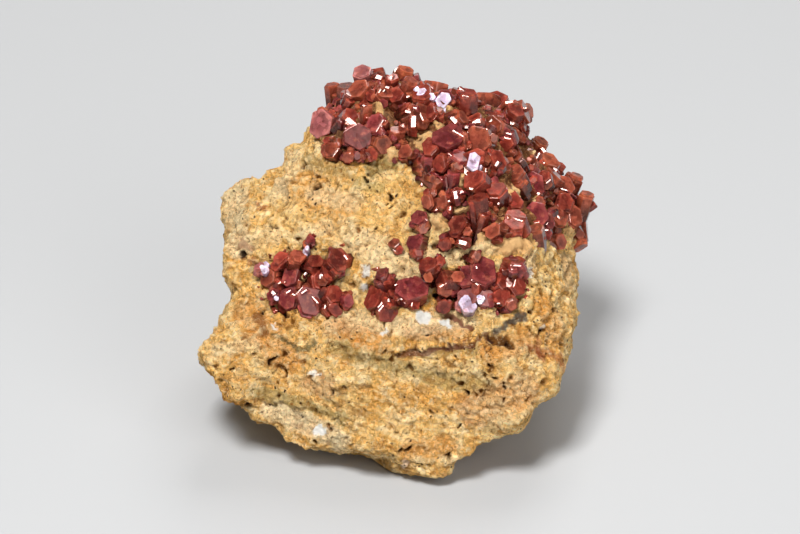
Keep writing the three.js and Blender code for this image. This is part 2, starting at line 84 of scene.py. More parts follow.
# The rock's mesh and its relief: how coarse it is behind, how far faces turn to the camera
# where it is finer, how far up its level underside reaches, how thick its layers are, how
# they dip, bend and wave across it (as height and length of each wave), and the height
# where they give way to crumbs
ROCK_VOXEL = 0.56
ROCK_SMOOTHING = 5
FRONT_START = 0.12
LEVEL_FACE_FADE = 1.2
LAYER_THICKNESS = 1.25
LAYER_DIP = 0.17
LAYER_BEND = -0.0127
LAYER_WAVES = [(0.9, 5.5), (0.5, 1.6), (0.22, 0.6)]
LAYERS_END = 19.0
LAYERS_FADE = 5.0

# Its rough forms, by spacing and height. Crumbs have one height where the rock has no
# layers and another where it has. Vugs are small round holes, and their reach is a share
# of their spacing.
LUMP_SPACING = 3.6
LUMP_HEIGHT = 0.6
CRUMB_SPACING = 2.2
CRUMB_HEIGHTS = (1.0, 0.15)
SMALL_CRUMB_SPACING = 0.9
SMALL_CRUMB_HEIGHTS = (0.52, 0.32)
GRIT_SPACING = 0.8
GRIT_HEIGHT = 0.22
LAYER_HEIGHT = 0.55
VUG_SPACING = 2.3
VUG_DEPTH = 0.9
VUG_REACH = 0.24

# The broken blocks that the rock's far side is made of: their spacing, how far one stands
# out past another, how deep the creases between them are, and how wide, as a share of the
# spacing
BLOCK_SPACING = 6.5
BLOCK_STEP = 1.6
BLOCK_CREASE = 0.6
CREASE_REACH = 0.16

# The rock's height, from 0 in a hollow to 1 on a top, which the material turns into painted
# shade in hollows and painted light on tops: that of even rock, and how much a millimetre of its fine relief
# adds or takes away
MIDDLE_HEIGHT = 0.55
HEIGHT_SHARE = 0.8

# How crystals sit: how far the listed ones stand off the rock, in and out of sight,
# how deep they root, how far the ones that catch the light stand in front of the others,
# and how far before and behind the picture plane a line of sight may pass close to one
CRYSTAL_LIFT = 0.6
UNSEEN_LIFT = 0.5
ROOT = 1.4
GLINT_LIFT = 0.25
PROBE_REACH = 30

# How crystals are formed: their bevel, the least share of its width that a flattened one
# keeps, the length of those listed out of sight, and how far they turn from the
# rock and the frosted ones from the light
CRYSTAL_BEVEL = 0.09
CRYSTAL_SQUASH = 0.72
UNSEEN_LENGTH = 2.6
UNSEEN_TILT = 0.45
FROSTED_TILT = 0.22

# How crystals are coloured: the share of the edge colour, a painted glow of light through the
# thin edges, in their edges, in the hearts of their end faces and in their feet, how much of it the
# middles of their sides have, and how much painted shade darkens them towards their roots, down to the
# darkest
EDGE_SHARE = 0.74
HEART_SHARE = 0.3
FOOT_SHARE = 0.34
SIDE_SHARE = 0.65
ROOT_SHADE = 1.8
DARKEST_ROOT = 0.2

# Each crystal is [right, up, radius, length, lean right, lean up, turn, kind]. The first
# two give where the camera sees its middle, the radius is half its width between flat
# sides, and the leans are those of its axis from the eye.
DRUSE_CRYSTALS = [
    [-11.2, 21.4, 2.0, 3.6, -0.45, 0.1, 10, "pink"], [-9.9, 25.5, 1.15, 4.2, -0.1, 0.93, 0, "brown"],
    [-7.6, 24.8, 1.25, 3.4, 0.3, 0.75, 20, "red"], [-5.4, 28.3, 1.4, 3.4, -0.2, 0.7, 5, "pink"],
    [-3.0, 27.6, 1.15, 3.0, -0.3, 0.85, 0, "brown"], [-1.4, 27.3, 1.1, 3.0, 0.2, 0.75, 30, "red"],
    [0.3, 28.2, 1.3, 3.8, 0.4, 0.8, 10, "orange"], [-5.5, 26.0, 1.7, 3.2, -0.5, 0.5, 25, "brown"],
    [-2.4, 25.4, 1.5, 2.8, 0.3, 0.6, 0, "brown"], [-0.3, 25.2, 1.3, 2.6, -0.4, 0.5, 40, "red"],
    [-7.8, 21.9, 1.45, 2.8, 0.55, 0.55, 15, "red"], [-5.1, 22.6, 0.9, 3.8, 0.05, 0.95, 0, "orange"],
    [-6.5, 19.4, 2.0, 3.0, 0.1, 0.1, 8, "purple"], [-3.6, 20.9, 1.7, 3.0, -0.35, 0.45, 35, "purple"],
    [-3.1, 18.5, 1.4, 2.6, 0.5, -0.2, 50, "orange"], [-0.6, 19.6, 1.15, 2.6, 0.2, 0.8, 12, "brown"],
    [-10.0, 17.2, 1.2, 2.4, -0.4, 0.4, 28, "brown"], [-7.4, 16.6, 0.95, 2.2, -0.4, -0.3, 5, "brown"],
    [-4.6, 16.8, 0.95, 2.2, 0.5, 0.2, 45, "red"], [1.1, 26.3, 1.25, 4.0, 0.35, 0.85, 0, "brown"],
    [3.6, 25.0, 1.8, 3.2, -0.2, 0.75, 18, "red"], [6.4, 24.6, 1.5, 2.8, 0.3, 0.6, 2, "purple"],
    [9.8, 24.0, 1.6, 5.0, 0.05, 0.9, 30, "red"], [2.3, 22.1, 2.0, 3.4, 0.6, 0.3, 0, "brown"],
    [4.9, 22.6, 1.3, 2.6, -0.5, 0.5, 22, "red"], [7.2, 19.1, 2.3, 3.4, 0.05, 0.5, 14, "purple"],
    [8.6, 21.9, 1.3, 2.8, 0.7, 0.4, 0, "brown"], [12.0, 18.9, 2.1, 3.0, -0.3, 0.05, 33, "brown"],
    [11.4, 21.5, 1.15, 2.6, -0.3, 0.8, 7, "red"], [14.6, 23.7, 2.2, 3.6, -0.15, 0.75, 0, "red"],
    [16.6, 22.6, 1.6, 3.6, 0.4, 0.7, 25, "red"], [18.4, 22.9, 1.2, 3.0, 0.8, 0.4, 0, "orange"],
    [14.4, 20.8, 1.8, 3.0, -0.55, 0.25, 48, "brown"], [11.1, 15.7, 1.75, 2.8, -0.1, 0.5, 3, "red"],
    [4.0, 15.3, 0.95, 2.8, 0, 0.9, 0, "purple"], [4.8, 17.4, 1.4, 2.8, -0.4, 0.5, 20, "red"],
    [6.4, 15.4, 1.35, 2.6, -0.5, 0, 40, "red"], [8.6, 15.8, 1.4, 2.8, 0.3, 0.7, 9, "purple"],
    [1.4, 17.0, 1.1, 2.4, -0.5, 0.3, 30, "brown"], [16.6, 19.3, 1.45, 2.8, 0.4, 0.6, 11, "brown"],
    [20.5, 17.7, 1.5, 3.4, 0.5, 0.75, 5, "orange"], [17.4, 16.5, 1.55, 2.8, -0.35, 0.5, 27, "brown"],
    [22.8, 14.2, 1.6, 3.2, 0.45, 0.75, 0, "red"], [24.2, 11.6, 1.9, 3.0, 0.3, 0.5, 44, "brown"],
    [25.9, 12.5, 1.1, 3.2, 0.4, 0.85, 0, "brown"], [20.3, 12.3, 1.85, 3.0, -0.2, 0.05, 16, "purple"],
    [17.4, 13.3, 1.9, 2.8, -0.35, 0.65, 38, "brown"], [24.0, 9.4, 1.7, 3.2, 0.5, 0.3, 6, "red"],
    [27.5, 9.2, 1.3, 4.2, 0.25, 0.9, 0, "orange"], [26.5, 4.5, 1.3, 4.0, 0.35, -0.85, 22, "orange"],
    [4.7, 12.8, 0.9, 3.6, 0.6, -0.55, 0, "orange"], [14.0, 15.6, 1.5, 2.8, 0.5, 0.3, 52, "red"],
    [7.9, 12.9, 1.1, 3.0, 0.1, 0.9, 13, "purple"], [8.4, 10.4, 1.15, 2.6, 0.5, 0.5, 0, "red"],
    [6.8, 9.2, 1.1, 2.4, -0.5, 0.5, 19, "brown"], [4.5, 9.9, 1.15, 2.4, -0.5, -0.1, 41, "brown"],
    [11.9, 8.3, 1.5, 5.0, -0.1, 0.88, 30, "red"], [11.6, 12.4, 1.8, 3.0, -0.5, 0.5, 8, "red"],
    [9.2, 6.0, 1.6, 2.8, -0.5, 0.3, 24, "red"], [9.4, 3.9, 1.1, 2.4, 0.5, -0.1, 0, "red"],
    [14.5, 10.9, 1.5, 2.8, -0.1, 0.7, 36, "red"], [6.9, 3.6, 1.05, 2.2, -0.4, -0.3, 15, "red"],
    [17.0, 9.4, 1.55, 2.8, 0.1, 0.55, 47, "red"], [16.9, 6.4, 1.9, 2.8, 0.2, 0.65, 4, "red"],
    [20.5, 7.7, 1.95, 3.0, 0, 0.1, 29, "purple"], [23.5, 6.8, 1.5, 3.0, 0.5, 0.4, 10, "brown"],
    [20.2, 4.6, 1.4, 3.2, -0.15, 0.8, 0, "orange"], [23.2, 4.0, 1.3, 2.8, 0.7, -0.1, 33, "brown"],
    [14.4, 5.2, 1.2, 2.4, -0.4, 0.1, 17, "brown"],
]
LOWER_LEFT_CRYSTALS = [
    [-9.4, 0.6, 1.8, 3.2, 0.3, 0.3, 0, "red"], [-17.5, 1.0, 1.2, 2.6, -0.3, 0.4, 12, "red"],
    [-15.5, 1.0, 1.25, 2.6, 0.2, 0.6, 40, "brown"], [-13.1, 0.4, 1.2, 2.4, 0.4, 0.4, 5, "red"],
    [-19.2, -1.7, 1.3, 2.6, -0.5, 0.1, 22, "brown"], [-20.6, -0.6, 1.05, 2.4, -0.5, 0.4, 0, "pink"],
    [-16.0, -1.7, 1.6, 2.8, -0.4, 0.3, 48, "purple"], [-12.3, -1.9, 1.6, 2.8, 0.4, 0.1, 16, "red"],
    [-16.4, -4.9, 1.75, 2.6, -0.3, 0.2, 2, "purple"], [-13.4, -5.1, 2.1, 2.8, 0.15, 0.1, 26, "purple"],
    [-18.6, -4.1, 1.1, 2.4, -0.5, 0, 35, "purple"], [-10.2, -4.4, 1.4, 2.6, 0.5, 0.3, 8, "red"],
    [-10.0, -6.1, 1.1, 2.4, 0.3, -0.3, 51, "red"], [-8.2, -5.1, 0.9, 2.2, 0.5, 0, 19, "purple"],
    [-10.8, -1.2, 1.5, 3.0, 0.4, 0.5, 33, "red"],
]
LOWER_MIDDLE_CRYSTALS = [
    [-2.4, -1.9, 1.25, 3.4, -0.3, 0.7, 0, "purple"], [-3.2, -5.1, 1.8, 3.0, -0.65, 0.3, 14, "red"],
    [-0.7, -4.2, 1.5, 2.8, 0.3, 0.4, 37, "red"], [1.7, -3.9, 2.3, 3.4, 0.1, 0.55, 5, "purple"],
]
LOWER_RIGHT_CRYSTALS = [
    [6.4, -5.6, 1.1, 2.6, 0.1, -0.3, 9, "red"], [7.9, -2.3, 1.6, 4.6, -0.85, 0.1, 0, "red"],
    [10.2, -1.9, 1.7, 2.8, -0.3, 0.4, 42, "purple"], [12.4, -1.3, 2.1, 3.2, 0.1, 0.5, 18, "purple"],
    [10.3, -5.0, 1.75, 3.0, -0.35, 0.25, 3, "pink"], [12.6, -4.8, 1.4, 2.6, 0.3, 0.2, 31, "pink"],
    [15.1, -2.2, 1.5, 2.8, 0.5, 0.3, 11, "red"], [17.2, -2.9, 1.3, 2.6, 0.6, 0.1, 46, "red"],
    [14.8, -4.8, 1.5, 2.8, 0.4, 0.3, 23, "red"], [16.3, -5.4, 1.0, 2.4, 0.3, -0.3, 7, "brown"],
]
LONE_CRYSTALS = {
    "lone_crystal_1": [
        [3.1, 7.0, 1.4, 2.4, -0.4, 0.4, 12, "purple"], [3.3, 5.7, 0.85, 2.0, 0.3, 0.1, 40, "brown"],
    ],
    "lone_crystal_2": [
        [2.6, 3.5, 1.15, 2.2, -0.5, 0.1, 0, "purple"], [2.5, 2.2, 0.8, 2.0, 0.3, 0, 25, "red"],
    ],
    "lone_crystal_3": [
        [4.4, -0.5, 1.35, 2.8, -0.2, 0.65, 6, "red"], [5.9, 0.7, 0.8, 2.2, 0.3, 0.3, 30, "red"],
    ],
    "lone_crystal_4": [[-0.6, 3.1, 0.9, 2.2, -0.3, 0.5, 18, "brown"]],
    "lone_crystal_5": [[-13.6, 3.7, 0.8, 2.0, 0.3, 0.4, 5, "purple"]],
    "lone_crystal_6": [[11.2, 1.6, 0.85, 2.2, 0.4, -0.1, 33, "brown"]],
    "thin_tablet_crystal": [[17.0, 0.5, 1.7, 1.3, 0, 0.85, 0, "red"]],
}

# Crystals out of the camera's sight: behind the ridge, as [across, back, radius], and on
# the right flank, as [back, height, radius]
RIDGE_CRYSTALS = [
    [-8, 16.6, 1.7], [-4, 18.6, 2.0], [0.4, 17.7, 1.9], [4.6, 19.1, 2.0], [9, 17.9, 1.9],
    [13, 19.3, 2.0], [17.4, 17.9, 1.9],
]
FLANK_CRYSTALS = [
    [10.6, 25, 1.9], [15.1, 21, 2.0], [18.5, 24.6, 1.8], [18.7, 17.4, 1.7], [13.6, 30, 1.9],
    [18.1, 30, 1.7],
]

# Faces that catch the key light in the photograph. Spots are small ones, as [right, up,
# size]. Frosted ones are lilac, their lilac-white colour a painted reflection of the lights, as [right, up,
# radius].
# Bars are side faces, from one point to another, with a width. Lines are bright edges, from one point to
# another.
SPOTS = [
    [-3.0, 28.6, 1.4], [-1.3, 28.3, 1.3], [-1.8, 27.0, 0.7], [-3.0, 26.4, 0.6], [-2.4, 26.4, 0.5],
    [-5.5, 24.3, 0.7], [1.2, 25.5, 0.9], [1.1, 23.4, 1.1], [9.3, 26.6, 1.1], [12.1, 23.8, 0.9],
    [11.4, 21.7, 1.3], [9.9, 21.1, 0.8], [16.9, 21.6, 1.0], [9.8, 14.6, 1.5], [12.9, 14.4, 0.9],
    [14.6, 15.4, 0.9], [20.7, 10.9, 0.9], [8.5, 10.7, 1.3], [9.2, 11.2, 1.0], [7.3, 9.8, 0.9],
    [7.6, 8.9, 0.8], [14.8, 9.5, 0.6], [9.2, 3.9, 1.5], [5.4, 8.5, 0.5], [3.3, 12.5, 0.7],
    [10.5, 11.8, 0.8], [18.7, 2.0, 0.6], [11.5, 0.0, 0.6], [0.3, -4.8, 0.6], [-0.6, -2.7, 0.6],
    [-1.7, -4.9, 0.9], [14.8, -5.5, 0.7], [-18.0, -2.4, 0.7], [-17.2, -2.3, 0.5],
    [-18.9, -3.8, 1.1], [-14.1, -0.9, 0.9],
]
FROSTED_SHEEN = [
    [11.1, 15.8, 1.35], [3.1, 26.1, 1.0], [6.6, 25.0, 1.2], [4.6, 25.6, 0.6], [-20.4, -0.2, 0.75],
    [10.2, -5.6, 1.3], [12.2, -4.9, 0.7], [-14.1, 2.4, 0.6], [-18.6, -4.6, 0.4],
]
BARS = [
    [1.8, 22.7, 1.8, 20.9, 1.2], [-1.1, 29.2, 0.0, 30.1, 0.45], [-8.1, 22.6, -6.6, 21.3, 0.45],
    [-8.5, 21.8, -7.2, 21.1, 0.53], [15.6, 24.5, 17.2, 24.8, 0.67], [21.1, 17.9, 21.8, 17.0, 0.67],
    [22.9, 15.1, 23.5, 14.2, 0.67], [23.3, 12.0, 25.4, 11.3, 0.33], [18.0, 23.8, 19.0, 23.9, 0.3],
    [7.5, 22.9, 8.6, 21.6, 0.45],
]
LINES = [
    [1.8, 24.0, 2.6, 23.8], [2.6, 23.8, 3.8, 21.3], [13.2, 21.6, 14.1, 22.6],
    [15.6, 20.3, 17.1, 19.9], [15.4, 19.5, 16.7, 19.2], [21.0, 15.7, 21.9, 15.8],
    [16.4, 7.6, 18.8, 6.8], [22.4, 8.3, 22.9, 7.9], [23.4, 7.9, 24.2, 7.0], [21.9, 6.3, 22.3, 7.1],
    [21.4, 5.5, 22.4, 5.6], [16.3, 0.5, 18.2, 0.3], [15.7, 0.9, 18.3, 0.9],
    [11.2, -2.2, 12.0, -3.0], [-3.6, -6.3, -2.5, -5.0], [-3.2, -6.6, -2.1, -5.2],
    [5.8, -3.0, 7.0, -2.2], [-8.4, 1.8, -7.7, 0.9], [-17.2, -3.8, -16.1, -3.1],
    [-16.8, -3.8, -14.8, -4.3], [-14.9, -4.0, -13.9, -3.3], [-13.9, -3.5, -12.2, -5.4],
    [-11.5, -6.6, -11.2, -5.4], [7.6, 20.8, 9.8, 19.5], [14.2, 15.6, 15.3, 15.0],
]

# Base colours of the kinds of crystal: deep inside a face, and along its edges, where the
# lighter colour is a painted glow of light through the thin edges
CRYSTAL_COLOURS = {
    "red": ((0.108, 0.0105, 0.008), (0.315, 0.055, 0.030)),
    "brown": ((0.122, 0.020, 0.012), (0.345, 0.084, 0.042)),
    "orange": ((0.160, 0.027, 0.013), (0.400, 0.105, 0.048)),
    "purple": ((0.103, 0.0110, 0.015), (0.285, 0.055, 0.048)),
    "pink": ((0.165, 0.038, 0.043), (0.43, 0.16, 0.14)),
    # The frosted kind's lilac-white is a painted reflection of the lights
    "frosted_painted_sheen": ((0.48, 0.33, 0.49), (0.88, 0.79, 0.89)),
}
COMMON_KINDS = ("red", "red", "red", "brown", "brown", "orange", "purple", "purple")
CLOUDY_RED = (0.36, 0.095, 0.055)
DEEP_RED = (0.060, 0.006, 0.005)
CRYSTAL_GLOW = (1.0, 0.16, 0.06)
CRYSTAL_SHEEN = (1.0, 0.74, 0.66)

# Colours of the dry rock, and of the stained crust under the druse, darkened as painted shade between the
# crystals
OCHRES = [
    (0.34, (0.80, 0.39, 0.080)), (0.45, (0.89, 0.49, 0.13)),
    (0.55, (0.94, 0.60, 0.21)), (0.68, (0.97, 0.73, 0.37)),
]
PALE_OCHRE = (1.0, 0.77, 0.42)
RUSTY_OCHRE = (0.60, 0.25, 0.045)
DARK_LAYER = (0.47, 0.235, 0.065)
# Painted light on the tops of the rock's relief, and painted shade in its hollows
PAINTED_TOP_LIGHT = (1.0, 0.78, 0.43)
PAINTED_HOLLOW_SHADE = (0.27, 0.095, 0.012)
PALE_GRAIN = (1.0, 0.81, 0.47)
DARK_GRAIN = (0.30, 0.105, 0.014)
CRACK = (0.26, 0.085, 0.012)
# Painted shade of tiny pits, laid on as small dark specks
PAINTED_SPECK_SHADE = (0.055, 0.024, 0.010)
CRUST_STAIN_AND_SHADE = [
    (0.35, (0.050, 0.010, 0.004)), (0.53, (0.20, 0.050, 0.020)), (0.66, (0.68, 0.34, 0.12)),
]


def picture_point(right, up):
    return AIM + RIGHT * right + UP * up


def facing(azimuth, elevation):
    """A direction from the rock: azimuth 0 is towards the front, positive to the right."""
    a = math.radians(azimuth)
    e = math.radians(elevation)
    return Vector((math.sin(a) * math.cos(e), -math.cos(a) * math.cos(e), math.sin(e)))


# The way a face points when it mirrors the key light to the camera
TO_GLINT = (facing(KEY_LIGHT["azimuth"], KEY_LIGHT["elevation"]) + TO_EYE).normalized()


def make_camera():
    camera = bpy.data.objects.new("camera", bpy.data.cameras.new("camera"))
    camera.data.lens = LENS
    camera.data.clip_start = 0.01
    camera.location = EYE * MM
    camera.rotation_euler = (-TO_EYE).to_track_quat("-Z", "Y").to_euler()
    bpy.context.scene.collection.objects.link(camera)
    bpy.context.scene.camera = camera


def make_light(name, azimuth, elevation, distance, size, power):
    data = bpy.data.lights.new(name, "AREA")
    data.shape = "SQUARE"
    data.size = size * MM
    data.energy = power
    lamp = bpy.data.objects.new(name, data)
    way = facing(azimuth, elevation)
    lamp.location = (AIM + way * distance) * MM
    lamp.rotation_euler = way.to_track_quat("Z", "Y").to_euler()
    bpy.context.scene.collection.objects.link(lamp)


class Nodes:
    """Short ways to add shader nodes to one tree. Textures are drawn at its place, which is
    in millimetres on an object."""

    def __init__(self, tree, coordinates="Object", scale=1 / MM):
        self.tree = tree
        place = self.add("TexCoord", coordinates)
        self.place = self.add("VectorMath", "Vector", {0: place, "Scale": scale}, operation="SCALE")

    def add(self, kind, output, inputs=None, **settings):
        """One output of a new node."""
        node = self.tree.nodes.new("ShaderNode" + kind)
        for name, value in settings.items():
            setattr(node, name, value)
        self.fill(node, inputs or {})
        return node.outputs[output]

    def fill(self, node, inputs):
        """Sets a node's inputs, each from an output, a number or a colour."""
        for name, value in inputs.items():
            socket = node.inputs[name]
            if hasattr(value, "is_output"):
                self.tree.links.new(value, socket)
            elif socket.type == "RGBA":
                socket.default_value = (*value, 1)
            else:
                socket.default_value = value

    def noise(self, scale, detail=4, roughness=0.55, output="Fac", place=None):
        inputs = {"Vector": place or self.place, "Scale": scale, "Detail": detail, "Roughness": roughness}
        return self.add("TexNoise", output, inputs)

    def shake(self, scale, amount):
        """Moves the places that later textures are drawn at about, so that they are uneven."""
        shift = self.noise(scale, detail=3, roughness=0.5, output="Color")
        inputs = {0: shift, 1: (amount,) * 3, 2: self.place}
        self.place = self.add("VectorMath", "Vector", inputs, operation="MULTIPLY_ADD")

    def bands(self, length, thickness, dip):
        """Noise drawn out along layers that dip across the rock."""
        turn = (0, math.atan(dip), 0)
        inputs = {"Vector": self.place, "Rotation": turn, "Scale": (length, length, thickness)}
        place = self.add("Mapping", "Vector", inputs, vector_type="TEXTURE")
        return self.noise(1, detail=5, roughness=0.65, place=place)

    def level(self):
        return self.add("SeparateXYZ", "Z", {"Vector": self.place})

    def cells(self, scale, output="Distance", feature="F1"):
        return self.add("TexVoronoi", output, {"Vector": self.place, "Scale": scale}, feature=feature)

    def attribute(self, name, output="Fac"):
        return self.add("Attribute", output, attribute_name=name)

    def range(self, value, low, high, to_low=0.0, to_high=1.0):
        ends = {"From Min": low, "From Max": high, "To Min": to_low, "To Max": to_high}
        return self.add("MapRange", "Result", {"Value": value, **ends})

    def multiply(self, a, b):
        return self.add("Math", "Value", {0: a, 1: b}, operation="MULTIPLY")

    def mix(self, share, a, b, blend="MIX"):
        inputs = {"Factor": share, "A": a, "B": b}
        return self.add("Mix", "Result", inputs, data_type="RGBA", blend_type=blend)

    def turn_to(self, colour, other, value, start, full, most=1.0):
        """A colour that turns into another one as a value goes from start to full."""
        return self.mix(self.range(value, start, full, 0, most), colour, other)

    def ramp(self, value, stops):
        node = self.tree.nodes.new("ShaderNodeValToRGB")
        elements = node.color_ramp.elements
        while len(elements) < len(stops):
            elements.new(0.5)
        for element, (position, colour) in zip(elements, stops):
            element.position = position
            element.color = (*colour, 1)
        self.fill(node, {"Fac": value})
        return node.outputs["Color"]

    def bump(self, height, strength, distance, normal=None):
        inputs = {"Height": height, "Strength": strength, "Distance": distance * MM}
        if normal is not None:
            inputs["Normal"] = normal
        return self.add("Bump", "Normal", inputs)


def new_material(name):
    """A new material, with ways to add nodes to it, and its shader."""
    material = bpy.data.materials.new(name)
    material.use_nodes = True
    return material, Nodes(material.node_tree), material.node_tree.nodes["Principled BSDF"]


def make_room():
    world = bpy.data.worlds.new("studio")
    world.use_nodes = True
    n = Nodes(world.node_tree, "Generated", 1)
    strength = n.range(n.level(), *HORIZON_BAND, HORIZON_STRENGTH, ROOM_STRENGTH)
    n.fill(world.node_tree.nodes["Background"], {"Color": ROOM_COLOUR, "Strength": strength})
    bpy.context.scene.world = world


def make_floor():
    bpy.ops.mesh.primitive_plane_add(size=FLOOR_SIZE * MM)
    floor = bpy.context.object
    floor.name = "floor"
    material, n, shader = new_material("pale_floor")
    distance = n.add("VectorMath", "Value", {0: n.place}, operation="LENGTH")
    n.fill(shader, {
        "Base Color": FLOOR_COLOUR,
        "Roughness": FLOOR_ROUGHNESS,
        "Emission Color": (1, 1, 1),
        "Emission Strength": n.range(distance, *FLOOR_GLOW_BAND, 0, FLOOR_GLOW),
    })
    floor.data.materials.append(material)


def make_studio():
    make_camera()
    make_light("key_light", **KEY_LIGHT)
    make_light("front_light", **FRONT_LIGHT)
    make_light("back_light", **BACK_LIGHT)
    make_room()
    make_floor()
    bpy.context.scene.view_settings.view_transform = "Standard"


def rock_material():
    """Dry ochre rock: blotched orange, tan and cream, with painted shade in its hollows and painted
    light on its tops, rusty along fine cracks, with small dark specks of painted shade for tiny
    pits, and stained dark red-brown under the druse, with painted shade between its crystals."""
    material, n, shader = new_material("ochre_rock")
    n.shake(1.1, 0.9)
    colour = n.ramp(n.noise(0.2, detail=6, roughness=0.66), OCHRES)
    patches = n.noise(0.6, detail=5, roughness=0.70)
    colour = n.turn_to(colour, PALE_OCHRE, patches, 0.54, 0.62, 0.75)
    colour = n.turn_to(colour, RUSTY_OCHRE, patches, 0.46, 0.37, 0.8)
    layers = n.bands(3.4, 0.9, LAYER_DIP)
    layered_part = n.range(n.level(), LAYERS_END + LAYERS_FADE, LAYERS_END)
    colour = n.mix(n.multiply(layered_part, n.range(layers, 0.48, 0.39, 0, 0.7)), colour, DARK_LAYER)
    colour = n.mix(n.multiply(layered_part, n.range(layers, 0.54, 0.62, 0, 0.6)), colour, PALE_OCHRE)
    tint = n.attribute("tint", "Color")
    tint_share = n.attribute("tint_share")
    colour = n.mix(tint_share, colour, tint)
    # Painted light and shade from the relief: paler on its tops, dark brown in its hollows
    height = n.attribute("height")
    colour = n.turn_to(colour, PAINTED_TOP_LIGHT, height, 0.60, 0.95, 0.6)
    colour = n.turn_to(colour, PAINTED_HOLLOW_SHADE, height, 0.40, 0.05, 0.9)
    grains = n.range(n.cells(2.2, output="Color"), 0.25, 0.75, 0.76, 1.34)
    colour = n.mix(0.75, colour, grains, "MULTIPLY")
    fine = n.noise(2.0, detail=6, roughness=0.8)
    colour = n.turn_to(colour, DARK_GRAIN, fine, 0.46, 0.37, 0.85)
    colour = n.turn_to(colour, PALE_GRAIN, fine, 0.56, 0.66, 0.85)
    cracked_area = n.range(n.noise(0.35, detail=3), 0.56, 0.66, 0, 0.7)
    cracks = n.range(n.cells(0.55, feature="DISTANCE_TO_EDGE"), 0.035, 0.012)
    colour = n.mix(n.multiply(cracks, cracked_area), colour, CRACK)
    # Small dark specks: painted shade of tiny pits
    speck_area = n.range(n.noise(0.12, detail=3), 0.42, 0.56)
    specks = n.multiply(n.range(n.cells(1.0), 0.24, 0.15), speck_area)
    chosen = n.range(n.cells(1.0, output="Color"), 0.45, 0.55)
    colour = n.mix(n.multiply(chosen, specks), colour, PAINTED_SPECK_SHADE)
    colour = n.turn_to(colour, tint, tint_share, 0.8, 0.93, 0.95)
    # The crust under the druse: a dark red-brown stain, darkened by painted shade between the crystals
    crust_stain_and_shade = n.ramp(n.noise(1.2, detail=5, roughness=0.7), CRUST_STAIN_AND_SHADE)
    pebbly = n.bump(n.cells(2.2), -0.8, 0.22)
    n.fill(shader, {
        "Base Color": n.mix(n.attribute("crust_stain_and_shade"), colour, crust_stain_and_shade),
        "Roughness": 0.9,
        "IOR": 1.25,
        "Normal": n.bump(n.noise(1.5, detail=9, roughness=0.76), 1.0, 1.1, pebbly),
    })
    return material


def crystal_material():
    """Deep red-brown vanadinite: resinous gloss, with light caught inside its edges, partly as painted glow.
    """
    material, n, shader = new_material("red_brown_crystal")
    clouds = n.noise(0.9, detail=5, roughness=0.65)
    colour = n.turn_to(n.attribute("crystal_colour_glow_and_shade", "Color"), CLOUDY_RED, clouds, 0.53, 0.70, 0.6)
    colour = n.turn_to(colour, DEEP_RED, clouds, 0.47, 0.32, 0.70)
    flaws = n.range(n.cells(1.15, output="Color"), 0.25, 0.75, 0.62, 1.30)
    n.fill(shader, {
        "Base Color": n.mix(0.8, colour, flaws, "MULTIPLY"),
        "Roughness": n.range(n.noise(1.3, detail=3), 0.38, 0.66, 0.06, 0.22),
        "IOR": 1.55,
        "Specular Tint": CRYSTAL_SHEEN,
        "Subsurface Weight": 0.15,
        "Subsurface Radius": CRYSTAL_GLOW,
        "Subsurface Scale": 0.8 * MM,
        "Normal": n.bump(n.noise(1.0, detail=4, roughness=0.6), 0.2, 0.13),
    })
    return material


def solid_mesh(node):
    """The CAD node's surface in millimetres, with its corners merged, as a bmesh."""
    bm = bmesh.new()
    bm.from_mesh(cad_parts[node].data)
    bmesh.ops.scale(bm, vec=(1 / MM,) * 3, verts=bm.verts)
    bmesh.ops.remove_doubles(bm, verts=bm.verts, dist=0.01)
    return bm


def object_from(name, bm):
    """Turns a bmesh in millimetres into an object in metres."""
    bmesh.ops.scale(bm, vec=(MM,) * 3, verts=bm.verts)
    mesh = bpy.data.meshes.new(name)
    bm.to_mesh(mesh)
    bm.free()
    obj = bpy.data.objects.new(name, mesh)
    bpy.context.scene.collection.objects.link(obj)
    return obj


def remeshed(bm, voxel, smoothing):
    """An even mesh of the same surface, with its facets smoothed, as a bmesh."""
    obj = object_from("remesh_source", bm)
    remesh = obj.modifiers.new("remesh", "REMESH")
    remesh.mode = "VOXEL"
    remesh.voxel_size = voxel * MM
    smooth = obj.modifiers.new("smooth", "SMOOTH")
    smooth.factor = 0.5
    smooth.iterations = smoothing
    depsgraph = bpy.context.evaluated_depsgraph_get()
    mesh = bpy.data.meshes.new_from_object(obj.evaluated_get(depsgraph))
    bpy.data.objects.remove(obj)
    result = bmesh.new()
    result.from_mesh(mesh)
    bmesh.ops.scale(result, vec=(1 / MM,) * 3, verts=result.verts)
    return result


def seen_at(places):
    """Where the camera sees points, as columns right and up on the picture plane."""
    offset = places - np.array(AIM)
    nearer = EYE_DISTANCE / (EYE_DISTANCE - offset @ np.array(TO_EYE))
    return np.stack([offset @ np.array(RIGHT) * nearer, offset @ np.array(UP) * nearer], axis=1)


def beside_line(seen, line):
    """How far places are from a line, which side of it they are on (-1 is below a line
    drawn from left to right), and how far beyond its ends they are."""
    points = [np.array(point, float) for point in line]
    points.append(points[-1] + 1e-6)
    nearest = np.full(len(seen), np.inf)
    side = np.zeros(len(seen))
    beyond = np.zeros(len(seen))
    last = len(points) - 2
    for i, (a, b) in enumerate(zip(points, points[1:])):
        way = b - a
        length = np.linalg.norm(way)
        offset = seen - a
        along = offset @ way / length
        inside = np.clip(along, 0, length)
        distance = np.linalg.norm(offset - np.outer(inside, way / length), axis=1)
        closer = distance < nearest - 1e-7
        nearest[closer] = distance[closer]
        side[closer] = np.sign(way[0] * offset[:, 1] - way[1] * offset[:, 0])[closer]
        before = -along if i == 0 else np.zeros(len(seen))
        after = along - length if i >= last - 1 else np.zeros(len(seen))
        beyond[closer] = np.maximum(np.maximum(before, after), 0)[closer]
    return nearest, side, beyond


